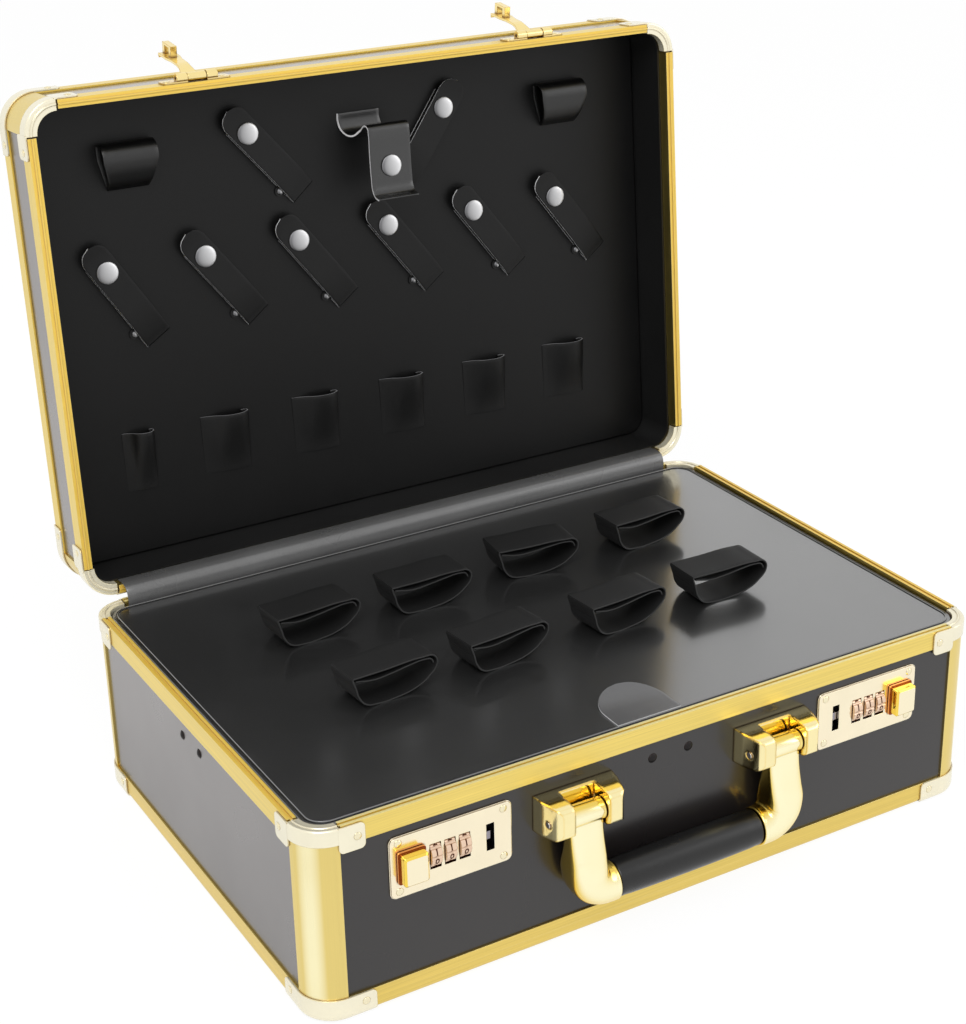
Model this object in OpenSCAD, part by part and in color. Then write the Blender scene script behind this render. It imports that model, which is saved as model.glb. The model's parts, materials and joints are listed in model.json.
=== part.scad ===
// Hairdresser's tool case: black laminated panels in gold aluminium rails, with a hinged lid,
// two combination locks, a carrying handle and a lift-out tray. Millimetres, +Z up.
// The origin is the middle of the open case's footprint, in the plane it stands on, and the
// front looks along -Y.

/* [Case] */
// Width over the rails
case_w = 459; // [430:1:480]
// Depth over the rails
case_d = 314; // [290:1:340]
// Height of the base, floor to rim
base_h = 122.5; // [112:0.5:140]
// Height of the lid
lid_h = 54.5; // [52:0.5:64]
// Gap between the two rims of the shut case
seam = 0.3; // [0.3:0.05:0.6]
// Angle that the lid is open at, in degrees
lid_open = 94; // [88:1:100]
// Outside radius of the upright corners
corner_r = 20; // [19:0.5:22]

/* [Rails and panels] */
// Thickness of a laminated panel
panel_t = 3; // [2.6:0.1:3.4]
// Thickness of a rail's legs
leg_t = 1.2; // [1:0.1:1.4]
// Height of the rim rail's outer leg
rim_face = 12.4; // [11:0.2:14]
// Height of the rim rail's inner leg
rim_inner = 9; // [8:0.5:11]
// Thickness of the rim rail's web
web_t = 2.4; // [2.2:0.1:2.8]
// Width of the groove in the base's rim
groove_w = 1.8; // [1.6:0.1:2]
// Depth of that groove
groove_d = 1.2; // [1.1:0.1:1.4]
// Clearance of the lid's tongue in the groove
tongue_gap = 0.4; // [0.3:0.05:0.5]
// Height of the base's bottom edge rail
base_edge_face = 15; // [12:0.5:18]
// Height of the lid's top edge rail
lid_edge_face = 14.8; // [12:0.2:16]
// Width of an edge rail's flange
edge_flange = 14; // [12:0.5:18]
// Outside radius of an edge rail
edge_r = 4; // [3:0.5:5]
// Thickness of the lining
lining_t = 1.2; // [1:0.1:1.6]

/* [Pressed corners] */
// Thickness of the pressed corners
skin_t = 1; // [0.8:0.1:1.2]
// Length of a rim corner from the case's end
rim_corner_len = 34.5; // [32:0.5:38]
// Height of a rim corner's tabs
rim_tab_h = 16.5; // [14:0.5:20]
// Height of a rim corner over the post
rim_hood_h = 10.5; // [9:0.5:12]
// How far a rim corner lies below the rim
corner_drop = 0.8; // [0.6:0.1:1]
// Length of an outer corner cap from the case's end
cap_len = 36.5; // [34:0.5:40]
// Radius of the tabs' corners
tab_r = 3; // [2:0.5:4]
// Distance of a tab's rivet from the case's end
tab_rivet_x = 30; // [28:0.5:31]

/* [Rivets] */
// Radius of a rivet's head
rivet_r = 2.3; // [2:0.1:2.6]
// Height of a rivet's head
rivet_h = 0.8; // [0.6:0.1:1.2]
// Radius of a rivet's shank
shank_r = 1.2; // [1:0.1:1.4]
// Clearance round a shank or a pin
fit = 0.04; // [0.02:0.01:0.08]

/* [Hinge] */
// Gap between the hinge's ends and the rim corners
hinge_end = 3; // [2:0.5:20]
// Outside radius of its knuckles
knuckle_r = 2; // [1.8:0.1:2.4]
// Radius of its pin
hinge_pin_r = 1; // [0.9:0.05:1.2]
// Number of knuckles
knuckles = 19; // [15:2:23]
// Thickness of its leaves
leaf_t = 0.9; // [0.7:0.1:1.1]
// Height of a leaf below its knuckles
leaf_h = 9; // [8:0.5:9.5]
// Gap at the ends of a knuckle
knuckle_gap = 0.3; // [0.25:0.05:0.5]

/* [Locks] */
// Distance of a lock's middle from the case's middle
lock_x = 144; // [142:0.5:150]
// Depth of a lock's middle below the rim
lock_drop = 37; // [34.5:0.5:38]
// Width of a lock plate
lock_w = 75.5; // [73:0.5:78]
// Height of a lock plate
lock_h = 38.5; // [35:0.5:40]
// Thickness of a lock plate
lock_t = 1.5; // [1.3:0.1:1.8]
// Radius of a number dial
dial_r = 9.2; // [9:0.1:9.3]
// Width of a dial
dial_w = 6.4; // [6:0.1:6.6]
// Distance between the dials
dial_pitch = 9; // [8.6:0.1:9.2]
// How far a dial stands out of the plate
dial_proud = 2.4; // [2:0.1:2.8]
// Radius of the dials' axle
axle_r = 2; // [1.8:0.1:2.2]
// Width of the release button
button_w = 17; // [16:0.5:18]
// Height of the release button
button_h = 20; // [18:0.5:22]
// How far the button stands out
button_proud = 7.5; // [6:0.5:9]
// Travel of the button
slide_travel = 3.5; // [3.4:0.1:3.6]

/* [Hasps] */
// Distance of a hasp's keeper from the lock's middle
keeper_x = 24; // [23.8:0.1:24.4]
// Width of a hasp's base plate
hasp_plate_w = 44; // [40:1:48]
// Radius of the hasp's knuckles
hasp_knuckle_r = 3; // [2.8:0.1:3.2]
// Radius of the hasp's pin
hasp_pin_r = 1.1; // [1:0.05:1.2]
// Width of the arm
hasp_w = 12; // [10:0.5:13]
// Thickness of the arm
hasp_t = 1.5; // [1.2:0.1:1.8]
// Angle that a hasp is folded back at
hasp_open = 170; // [150:1:174]

/* [Handle] */
// Distance of a handle bracket from the case's middle
bracket_x = 68.5; // [67:0.5:70]
// Sideways place of the handle's middle
handle_mid = 2; // [0:0.5:3]
// Width of a bracket
bracket_w = 52; // [50:0.5:54]
// Width of the gap between a bracket's ears
ear_gap = 22.5; // [21:0.5:24]
// Depth of the handle's pivot below the rim
pivot_drop = 34; // [32:0.5:36]
// Distance of the pivot from the front face
pivot_out = 11.5; // [11:0.5:13]
// Radius of the handle's pins
handle_pin_r = 2; // [1.8:0.1:2.4]
// Radius of the arm's barrel
barrel_r = 6.5; // [6:0.1:7]
// Thickness of a handle arm
arm_t = 11; // [10:0.5:12]
// Drop of the grip's middle below the pivot
grip_drop = 50; // [48:0.5:52]
// Radius of the grip
grip_r = 11.5; // [10.5:0.5:12]
// Length of the grip
grip_len = 100; // [96:1:102]

/* [Tray] */
// Depth of the tray's face below the rim
tray_drop = 2; // [1.5:0.5:5]
// Thickness of the tray's board
tray_t = 3.5; // [3:0.5:4.5]
// Gap between the tray and the rails
tray_gap = 1.2; // [1:0.1:2]
// Distance between the loops, across
loop_pitch = 81; // [76:1:86]
// Width of a loop
loop_w = 54; // [48:1:60]
// Height of a loop
loop_h = 21.5; // [18:0.5:23]
// Width of the webbing
webbing_w = 26; // [22:1:30]
// Thickness of the webbing
webbing_t = 1.4; // [1.2:0.1:1.6]

/* [Lid organiser] */
// Depth of the organiser's face below the lid's rim
organiser_drop = 41; // [38:0.5:42]
// Thickness of the organiser's board
organiser_t = 3; // [2:0.5:4]
// Distance between the columns of straps and sleeves
column_pitch = 66; // [62:0.5:68]
// Sideways place of the columns' middle
column_mid = -10.5; // [-14:0.5:-6]
// Sideways place of the row of straps
strap_mid = -14.5; // [-18:0.5:-10]
// Length of a snap strap
strap_len = 78; // [74:1:82]
// Width of a snap strap
strap_w = 19; // [16:0.5:20]
// Slant of a snap strap, in degrees
strap_tilt = 37; // [32:1:40]
// Thickness of a strap
strap_t = 1; // [0.8:0.1:1.2]
// Radius of a snap stud
stud_r = 7.2; // [6:0.1:7.5]
// Height of a snap stud's head
stud_h = 1.6; // [1.2:0.1:2.4]
// Width of a tool sleeve
sleeve_w = 31; // [28:0.5:34]
// Length of a tool sleeve
sleeve_len = 40; // [36:1:44]

/* [Hidden] */
$fn = 48;

gold = "#e6cf7a";
amber = "#dcb23c";
pale_gold = "#f3ead0";
black = "#3b3838";
soft_black = "#262626";
silver = "#d5d5d8";
copper = "#b98a52";

half_w = case_w / 2;
half_d = case_d / 2;
rim_t = panel_t + 2 * leg_t;
face_y = -half_d + leg_t;
panel_z = skin_t + edge_r;
floor_z = skin_t + leg_t;
floor_top = floor_z + panel_t;
inside_u = rim_t + lining_t;
lining_ease = 0.6;
lip_gap = 0.1;
end_gap = 0.8;
tab_z = 8.5;
cap_rivet_z = 9.5;
joint_gap = 0.3;

hinge_len = case_w - 2 * (rim_corner_len + hinge_end);
hinge_y = half_d + knuckle_r + joint_gap;
hinge_z = base_h + seam / 2;
knuckle_len = hinge_len / knuckles;
leaf_rivets = 6;

lid_z = base_h + seam;
lid_top = lid_z + lid_h;

lock_z = base_h - lock_drop;
lock_face = face_y - lock_t;
lock_rivet_inset = [5.5, 4.2];
dial_mid = 1;
dial_y = lock_face - dial_proud + dial_r;
dial_slot_h = 15.8;
window = [114.5 - 144, 178 - 144];
window_h = 26;
housing_wall = 0.8;
housing_back = 15.5;
rib_t = 1.5;
button_x = 25;
neck = 8;
slot_w = 5;
slot_h = 17;
bolt_y = [face_y + 0.5, face_y + 2.7];
bolt_end = 1.1;

hasp_x = lock_x - keeper_x;
hasp_y = -half_d - hasp_knuckle_r;
hasp_z = lid_z + hasp_knuckle_r + 0.6;
ring_z = lock_z;
ring_w = 4.2;
ring_leg = 3.2;
ring_open = 6.8;
ring_depth = 6.8;

pivot_z = base_h - pivot_drop;
pivot_y = -half_d - pivot_out;
grip_z = pivot_z - grip_drop;
grip_end = grip_len / 2;
barrel_w = ear_gap - 2 * joint_gap;
arm_in = bracket_x - barrel_w / 2;
arm_out = bracket_x + barrel_w / 2;
spigot_r = 5;
spigot_len = 14;
collar_rim = 0.5;
collar_r = grip_r + collar_rim;

tray_top = base_h - tray_drop;
tray_w = case_w - 2 * (rim_t + tray_gap);
tray_front = -half_d + rim_t + tray_gap;
tray_back = half_d - rim_t - 2 * tray_gap;
tray_r = corner_r - rim_t;
bracket_rivet_x = 12.4;
bracket_rivet_z = base_h - 23;
row_y = [-42, 53];
flap_x = -8;
flap_w = 43;
flap_len = 36;

// The open case reaches from the handle's collars to the lid's rounded top edge
front_reach = pivot_y - collar_r;
back_reach = hinge_y + (-half_d + edge_r - hinge_y) * cos(lid_open)
    + (lid_top - skin_t - edge_r - hinge_z) * sin(lid_open) + edge_r + skin_t;
middle_y = (front_reach + back_reach) / 2;

board_z = lid_h - organiser_drop;
stud_y = -41;
stud_at = 57.5;
sleeve_y = [66, 66 + sleeve_len];

// Points of an arc
function arc(c, r, a0, a1, n = 8) =
    [for (i = [0:n]) let (a = a0 + (a1 - a0) * i / n) c + r * [cos(a), sin(a)]];

// Points of a cubic curve
function curve(a, b, c, d, n = 6) =
    [for (i = [0:n]) let (t = i / n, s = 1 - t)
        a * s * s * s + 3 * b * s * s * t + 3 * c * s * t * t + d * t * t * t];

// Unit normal of a run of points at point i
function normal(p, i) =
    let (d = p[min(i + 1, len(p) - 1)] - p[max(i - 1, 0)]) [-d.y, d.x] / norm(d);

// Outline of a strip of thickness t that follows the points p
function ribbon(p, t) = concat(
    [for (i = [0:len(p) - 1]) p[i] + normal(p, i) * t / 2],
    [for (i = [len(p) - 1:-1:0]) p[i] - normal(p, i) * t / 2]);

// A closed outline drawn in by t
function inset(p, t) = let (n = len(p))
    [for (i = [0:n - 1]) let (d = p[(i + 1) % n] - p[(i + n - 1) % n])
        p[i] - [d.y, -d.x] / norm(d) * t];

// Moves a part from the case's own middle to the footprint's middle
module at_case() {
    translate([0, -middle_y, 0]) children();
}

module rounded(size, r) {
    square([size.x - 2 * r, size.y], center = true);
    square([size.x, size.y - 2 * r], center = true);
    for (x = [-1, 1], y = [-1, 1])
        translate([x * (size.x / 2 - r), y * (size.y / 2 - r)]) circle(r, $fn = 32);
}

// A profile drawn as (inwards, up) runs along one side of the case
module along_front(length) {
    translate([0, -half_d, 0]) rotate([90, 0, 90]) linear_extrude(length, center = true) children();
}

module along_left(length) {
    translate([-half_w, 0, 0]) rotate([90, 0, 0]) linear_extrude(length, center = true) children();
}

module both_x() {
    children();
    mirror([1, 0, 0]) children();
}

module both_y() {
    children();
    mirror([0, 1, 0]) children();
}

module all_corners() {
    both_x() both_y() children();
}

// The front left corner's centre, for parts that turn round it
module at_corner() {
    translate([-half_w + corner_r, -half_d + corner_r, 0]) children();
}

// A frame on the front face: x along it, y up, z outwards, at height z
module on_front(x, z, out = 0) {
    translate([x, -half_d - out, z]) rotate([90, 0, 0]) children();
}

// The same frame on the left face, y along it
module on_left(y, z, out = 0) {
    translate([-half_w - out, y, z]) rotate([90, 0, -90]) children();
}

module rivet(length, head = rivet_r, height = rivet_h) {
    dome(head, height);
    translate([0, 0, -length]) cylinder(r = shank_r, h = length);
}

module shank_hole(length) {
    translate([0, 0, -length - 0.5]) cylinder(r = shank_r + fit, h = length + 1);
}

// Places of the rivets in the tabs of the corners, at height z, outside the skin
module tab_rivets(z) {
    all_corners() {
        on_front(-half_w + tab_rivet_x, z, skin_t) children();
        on_left(-half_d + tab_rivet_x, z, skin_t) children();
    }
}

module rim_profile(tongue) {
    difference() {
        polygon([[0, 0], [rim_t, 0], [rim_t, -rim_inner], [rim_t - leg_t, -rim_inner],
            [rim_t - leg_t, -web_t], [leg_t, -web_t], [leg_t, -rim_face], [0, -rim_face]]);
        if (!tongue)
            translate([(rim_t - groove_w) / 2, -groove_d]) square([groove_w, groove_d + 1]);
    }
    if (tongue)
        translate([(rim_t - groove_w) / 2 + tongue_gap, -leg_t])
            square([groove_w - 2 * tongue_gap, groove_d - tongue_gap + leg_t]);
}

module edge_profile(face) {
    c = [edge_r, skin_t + edge_r];
    polygon(concat([[0, face]], arc(c, edge_r, 180, 270),
        [[edge_flange, skin_t], [edge_flange, floor_z]],
        arc(c, edge_r - leg_t, 270, 180), [[leg_t, face]]));
}

module cap_profile(face, flange) {
    c = [edge_r, skin_t + edge_r];
    polygon(concat([[-skin_t, face]], arc(c, edge_r + skin_t, 180, 270),
        [[flange, 0], [flange, skin_t]], arc(c, edge_r, 270, 180), [[0, face]]));
}

rail_w = case_w - 2 * (corner_r + end_gap);
rail_d = case_d - 2 * (corner_r + end_gap);

module front_rim_rail(h, tongue) {
    difference() {
        translate([0, 0, h]) along_front(rail_w) rim_profile(tongue);
        tab_rivets(h - tab_z) shank_hole(skin_t + leg_t);
        children();
    }
}

module left_rim_rail(h, tongue) {
    difference() {
        translate([0, 0, h]) along_left(rail_d) rim_profile(tongue);
        tab_rivets(h - tab_z) shank_hole(skin_t + leg_t);
    }
}

module edge_rails(face) {
    difference() {
        union() {
            both_y() along_front(case_w - 2 * corner_r) edge_profile(face);
            both_x() along_left(case_d - 2 * corner_r) edge_profile(face);
        }
        all_corners() at_corner() translate([0, 0, -1])
            rotate(45) translate([-2 * corner_r, -50, 0]) cube([2 * corner_r - 1, 100, floor_z + 2]);
        tab_rivets(cap_rivet_z) shank_hole(skin_t + leg_t);
    }
}

// Hollow quarter round post with a web at each end for the panels
module post(h) {
    at_corner() translate([0, 0, floor_top])
        linear_extrude(h - corner_drop - skin_t - floor_top)
            intersection() {
                translate([-corner_r, -corner_r]) square(corner_r);
                difference() {
                    circle(corner_r, $fn = 96);
                    circle(corner_r - rim_t, $fn = 96);
                    intersection() {
                        translate([-corner_r, -corner_r]) square(corner_r - leg_t);
                        difference() {
                            circle(corner_r - leg_t, $fn = 96);
                            circle(corner_r - rim_t + leg_t, $fn = 96);
                        }
                    }
                }
            }
}

module posts(h) {
    all_corners() post(h);
}

// Section of a rim corner over the post: a hood with a raised bead and an inner lip
module hood_profile() {
    top = -corner_drop;
    lip = rim_t + lip_gap;
    polygon(concat([[-skin_t, -rim_hood_h]],
        arc([0, top - skin_t], skin_t, 180, 90, 3),
        [[1.9, top], [2.3, top + 0.5], [3.1, top + 0.5], [3.5, top], [lip + skin_t, top],
        [lip + skin_t, top - 6], [lip, top - 6], [lip, top - skin_t],
        [0, top - skin_t], [0, -rim_hood_h]]));
}

module rim_tab(h) {
    w = rim_corner_len - corner_r + 1;
    tall = rim_tab_h - corner_drop;
    on_front(-half_w + rim_corner_len - w / 2, h - corner_drop - tall / 2)
        difference() {
            linear_extrude(skin_t) {
                rounded([w, tall], tab_r);
                translate([-w / 2, tall / 2 - tab_r - 2]) square([w - tab_r, tab_r + 2]);
            }
            translate([w / 2 - rim_corner_len + tab_rivet_x, corner_drop + tall / 2 - tab_z, skin_t])
                shank_hole(skin_t);
        }
}

module rim_corners(h) {
    all_corners() {
        at_corner() translate([0, 0, h]) rotate(180) rotate_extrude(angle = 90, $fn = 96)
            translate([corner_r, 0]) mirror([1, 0]) hood_profile();
        rim_tab(h);
        translate([-half_w, -half_d, 0]) mirror([1, -1, 0]) translate([half_w, half_d, 0]) rim_tab(h);
    }
}

module cap_tab(face) {
    run = cap_len - corner_r;
    difference() {
        intersection() {
            translate([-half_w + corner_r + run / 2, 0, 0]) along_front(run)
                cap_profile(face, edge_flange);
            on_front(-half_w + corner_r + run / 2 - tab_r, face / 2) translate([0, 0, -edge_flange - 1])
                linear_extrude(edge_flange + skin_t + 2)
                    rounded([run + 2 * tab_r, face], tab_r);
        }
        on_front(-half_w + tab_rivet_x, cap_rivet_z, skin_t) shank_hole(skin_t);
    }
}

module outer_corners(face) {
    all_corners() {
        at_corner() rotate(180) rotate_extrude(angle = 90, $fn = 96)
            translate([corner_r, 0]) mirror([1, 0]) cap_profile(face, corner_r);
        cap_tab(face);
        translate([-half_w, -half_d, 0]) mirror([1, -1, 0]) translate([half_w, half_d, 0]) cap_tab(face);
    }
}

module front_panel(h) {
    z = h - web_t - panel_z;
    translate([-half_w + corner_r, face_y, panel_z]) cube([case_w - 2 * corner_r, panel_t, z]);
}

module left_panel(h) {
    z = h - web_t - panel_z;
    translate([-half_w + leg_t, -half_d + corner_r, panel_z])
        cube([panel_t, case_d - 2 * corner_r, z]);
}

// Floor of the base, or top of the lid, with its corners rounded inside the posts
module flat_panel() {
    size = [case_w, case_d] - [1, 1] * 2 * (leg_t + panel_t);
    translate([0, 0, floor_z]) linear_extrude(panel_t)
        rounded(size, corner_r - leg_t - panel_t);
}

module lining_outline() {
    rounded([case_w - 2 * rim_t, case_d - 2 * rim_t], corner_r - rim_t + lining_ease);
    square([case_w - 2 * corner_r, case_d - 2 * (rim_t - leg_t)], center = true);
    square([case_w - 2 * (rim_t - leg_t), case_d - 2 * corner_r], center = true);
}

module tub(h) {
    difference() {
        translate([0, 0, floor_top]) linear_extrude(h - rim_inner - floor_top) lining_outline();
        translate([0, 0, floor_top + lining_t]) linear_extrude(h)
            rounded([case_w - 2 * inside_u, case_d - 2 * inside_u], corner_r - inside_u);
    }
}

module lock_frame(side) {
    translate([side * lock_x, 0, lock_z]) mirror([side < 0 ? 1 : 0, 0, 0]) children();
}

module lock_window() {
    for (side = [-1, 1]) lock_frame(side)
        translate([window[0], -half_d - 1, -window_h / 2])
            cube([window[1] - window[0], rim_t + lining_t + 2, window_h]);
}

module lock_rivet_places() {
    for (side = [-1, 1], x = [-1, 1], z = [-1, 1]) lock_frame(side)
        translate([x * (lock_w / 2 - lock_rivet_inset.x), lock_face, z * (lock_h / 2 - lock_rivet_inset.y)])
            rotate([90, 0, 0]) children();
}

// The four tray brackets' places, seen from outside each wall
module tray_bracket_frames() {
    both_y() on_front(0, bracket_rivet_z, -leg_t) children();
    both_x() on_left(0, bracket_rivet_z, -leg_t) children();
}

module tray_rivet_places() {
    tray_bracket_frames() for (x = [-1, 1]) translate([x * bracket_rivet_x, 0, 0]) children();
}

wall_t = inside_u - leg_t;

module base_front_panel() {
    color(black) at_case() difference() {
        front_panel(base_h);
        lock_window();
        lock_rivet_places() shank_hole(lock_t + panel_t);
        tray_rivet_places() shank_hole(wall_t);
    }
}

module base_back_panel() {
    color(black) at_case() difference() {
        mirror([0, 1, 0]) front_panel(base_h);
        tray_rivet_places() shank_hole(wall_t);
    }
}

module base_side_panels() {
    color(black) at_case() difference() {
        both_x() left_panel(base_h);
        tray_rivet_places() shank_hole(wall_t);
    }
}

module base_floor_panel() {
    color(black) at_case() flat_panel();
}

module base_front_rim_rail() {
    color(gold) at_case() front_rim_rail(base_h, false);
}

module base_back_rim_rail() {
    color(gold) at_case() difference() {
        mirror([0, 1, 0]) front_rim_rail(base_h, false);
        leaf_rivet_places() shank_hole(leaf_t + leg_t);
    }
}

module base_side_rim_rails() {
    color(gold) at_case() both_x() left_rim_rail(base_h, false);
}

module base_edge_rails() {
    color(gold) at_case() edge_rails(base_edge_face);
}

module base_corner_posts() {
    color(gold) at_case() posts(base_h);
}

module base_rim_corners() {
    color(pale_gold) at_case() rim_corners(base_h);
}

module base_foot_corners() {
    color(pale_gold) at_case() outer_corners(base_edge_face);
}

module base_rivets() {
    color(pale_gold) at_case() {
        tab_rivets(base_h - tab_z) rivet(skin_t + leg_t);
        tab_rivets(cap_rivet_z) rivet(skin_t + leg_t);
        leaf_rivet_places() rivet(leaf_t + leg_t);
    }
}

module base_lining() {
    color(soft_black) at_case() difference() {
        tub(base_h);
        lock_window();
        tray_rivet_places() shank_hole(wall_t);
    }
}

// Folded steel ledge that the tray lies on
module tray_brackets() {
    wide = 2 * bracket_rivet_x + 10;
    shelf = 11;
    top = tray_top - tray_t - joint_gap - bracket_rivet_z;
    color(soft_black) at_case() tray_bracket_frames() translate([0, 0, -wall_t]) difference() {
        rotate([90, 0, 90]) linear_extrude(wide, center = true)
            polygon([[-7, 0], [top, 0], [top, -shelf], [top - leg_t, -shelf],
                [top - leg_t, -leg_t], [-7, -leg_t]]);
        for (x = [-1, 1]) translate([x * bracket_rivet_x, 0, 0]) shank_hole(leg_t);
    }
}

module bracket_rivets() {
    color(black) at_case() tray_rivet_places() rivet(wall_t + leg_t, 3, 1.2);
}

// Hinge: each leaf has every other knuckle
module knuckle_cylinders(first, r, extra) {
    for (i = [first:2:knuckles - 1])
        translate([-hinge_len / 2 + (i + 0.5) * knuckle_len, hinge_y, hinge_z]) rotate([0, 90, 0])
            cylinder(r = r, h = knuckle_len - knuckle_gap + 2 * extra, center = true);
}

module leaf_rivet_places() {
    for (i = [0:leaf_rivets - 1])
        translate([((i + 0.5) / leaf_rivets - 0.5) * hinge_len, half_d + leaf_t, hinge_z - leaf_h + 3])
            rotate([-90, 0, 0]) children();
}

module leaf(first) {
    difference() {
        union() {
            translate([-hinge_len / 2, half_d, hinge_z - leaf_h]) cube([hinge_len, leaf_t, leaf_h]);
            knuckle_cylinders(first, knuckle_r, 0);
        }
        for (i = [1 - first:2:knuckles - 1])
            translate([-hinge_len / 2 + i * knuckle_len - knuckle_gap / 2, half_d - 1,
                hinge_z - knuckle_r - joint_gap])
                cube([knuckle_len + knuckle_gap, leaf_t + 2, 2 * knuckle_r]);
        translate([0, hinge_y, hinge_z]) rotate([0, 90, 0])
            cylinder(r = hinge_pin_r + fit, h = hinge_len + 2, center = true);
        leaf_rivet_places() shank_hole(leaf_t);
    }
}

module hinge_base_leaf() {
    color(gold) at_case() leaf(0);
}

module hinge_pin() {
    color(silver) at_case() translate([0, hinge_y, hinge_z]) rotate([0, 90, 0])
        cylinder(r = hinge_pin_r, h = hinge_len, center = true);
}

// Locks: plate, housing behind it, dials on an axle, and a slide with button and bolt
module lock_outline() {
    difference() {
        children();
        for (i = [-1:1]) translate([dial_mid + i * dial_pitch, 0])
            square([dial_w + 2 * joint_gap, dial_slot_h], center = true);
        translate([-keeper_x, 0]) square([slot_w, slot_h], center = true);
        translate([button_x - neck / 2 - joint_gap, -neck / 2 - joint_gap])
            square([neck + slide_travel + 2 * joint_gap, neck + 2 * joint_gap]);
    }
}

module lock_plate(side) {
    step = 0.6;
    color(pale_gold) at_case() difference() {
        lock_frame(side) translate([0, face_y, 0]) rotate([90, 0, 0]) {
            linear_extrude(lock_t - step) lock_outline() rounded([lock_w, lock_h], 4);
            linear_extrude(lock_t) lock_outline() rounded([lock_w - 2 * step, lock_h - 2 * step], 4 - step);
        }
        lock_rivet_places() shank_hole(lock_t);
    }
}

module left_lock_plate() {
    lock_plate(-1);
}

module right_lock_plate() {
    lock_plate(1);
}

module axle_line(length) {
    translate([dial_mid, dial_y, 0]) rotate([0, 90, 0])
        cylinder(r = length < 20 ? axle_r + fit : axle_r, h = length, center = true);
}

rib_x = dial_pitch + dial_w / 2 + 0.4;

// Folded housing in the window, with two ribs that carry the axle
module lock_housings() {
    g = joint_gap;
    color(silver) at_case() for (side = [-1, 1]) lock_frame(side) {
        difference() {
            translate([window[0] + g, face_y, -window_h / 2 + g])
                cube([window[1] - window[0] - 2 * g, housing_back + housing_wall, window_h - 2 * g]);
            translate([window[0] + g + housing_wall, face_y - 1, -window_h / 2 + g + housing_wall])
                cube([window[1] - window[0] - 2 * (g + housing_wall), housing_back + 1,
                    window_h - 2 * (g + housing_wall)]);
        }
        for (s = [-1, 1]) difference() {
            translate([dial_mid + s * (rib_x + rib_t / 2) - rib_t / 2, dial_y - 4, -7])
                cube([rib_t, face_y + housing_back - dial_y + 4, 14]);
            translate([dial_mid + s * (rib_x + rib_t / 2), dial_y, 0]) rotate([0, 90, 0])
                cylinder(r = axle_r + fit, h = rib_t + 1, center = true);
        }
    }
}

module dial_axles() {
    color(silver) at_case() for (side = [-1, 1]) lock_frame(side)
        axle_line(2 * (rib_x + rib_t));
}

module lock_rivets() {
    color(pale_gold) at_case() lock_rivet_places() rivet(lock_t + panel_t);
}

// Number dial with ten flats between shallow finger notches
module dial(side, i) {
    notch_r = 1.1;
    color(copper) at_case() lock_frame(side)
        translate([dial_mid + (i - 2) * dial_pitch, dial_y, 0]) rotate([0, 90, 0]) difference() {
            cylinder(r = dial_r, h = dial_w, center = true, $fn = 96);
            cylinder(r = axle_r + fit, h = dial_w + 1, center = true);
            for (a = [0:9]) rotate(36 * a + 18) translate([dial_r + 0.55, 0, 0])
                cylinder(r = notch_r, h = dial_w + 1, center = true, $fn = 24);
        }
}

module left_dial_1() {
    dial(-1, 1);
}

module left_dial_2() {
    dial(-1, 2);
}

module left_dial_3() {
    dial(-1, 3);
}

module right_dial_1() {
    dial(1, 1);
}

module right_dial_2() {
    dial(1, 2);
}

module right_dial_3() {
    dial(1, 3);
}

// Release button: a stepped block with bevelled edges on a neck, and the bolt behind the plate
module lock_slide(side) {
    step = 1.5;
    bevel = 1.2;
    bar = [-window_h / 2 + joint_gap + housing_wall + 0.4, -dial_r - 0.4];
    post_x = [-keeper_x + ring_w / 2 + bolt_end + 0.4, -keeper_x + ring_w / 2 + bolt_end + 3.6];
    bolt_t = bolt_y[1] - bolt_y[0];
    color(gold) at_case() lock_frame(side) {
        translate([button_x, lock_face - joint_gap, 0]) rotate([90, 0, 0]) {
            linear_extrude(step) rounded([button_w, button_h], 1.5);
            hull() {
                translate([0, 0, step]) linear_extrude(button_proud - step - bevel)
                    rounded([button_w - 2, button_h - 2], 1.5);
                linear_extrude(button_proud)
                    rounded([button_w - 2 - 2 * bevel, button_h - 2 - 2 * bevel], 1);
            }
        }
        translate([button_x - neck / 2, lock_face - joint_gap - 0.5, -neck / 2])
            cube([neck, bolt_y[1] - lock_face + joint_gap + 0.5, neck]);
        translate([button_x - neck / 2, bolt_y[0], bar[0]]) cube([neck, bolt_t, neck / 2 - bar[0]]);
        translate([post_x[0], bolt_y[0], bar[0]])
            cube([button_x + neck / 2 - post_x[0], bolt_t, bar[1] - bar[0]]);
        translate([post_x[0], bolt_y[0], bar[0]]) cube([post_x[1] - post_x[0], bolt_t, 2.5 - bar[0]]);
        translate([-keeper_x - bolt_end, bolt_y[0], -2.5])
            cube([post_x[1] + keeper_x + bolt_end, bolt_t, 5]);
    }
}

module left_lock_slide() {
    lock_slide(-1);
}

module right_lock_slide() {
    lock_slide(1);
}

// Handle: cast brackets with two ears, cast arms on pins, and a grip on the arms' spigots
module bracket_side() {
    polygon([[0, -9.5], [0, 12.5], [3, 12.5], [9, 12], [16, 11.8], [19.5, 11.2], [21.4, 9.4],
        [22, 7], [22, -4], [21.2, -6.6], [18.5, -8.4], [10, -9.2], [4, -9.5]]);
}

module bracket_plan() {
    w = bracket_w / 2;
    polygon([[-w, 0], [-w + 1, 8], [-w + 3.2, 16], [-w + 4.4, 19.6], [-w + 7, 22], [w - 7, 22],
        [w - 4.4, 19.6], [w - 3.2, 16], [w - 1, 8], [w, 0]]);
}

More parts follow.
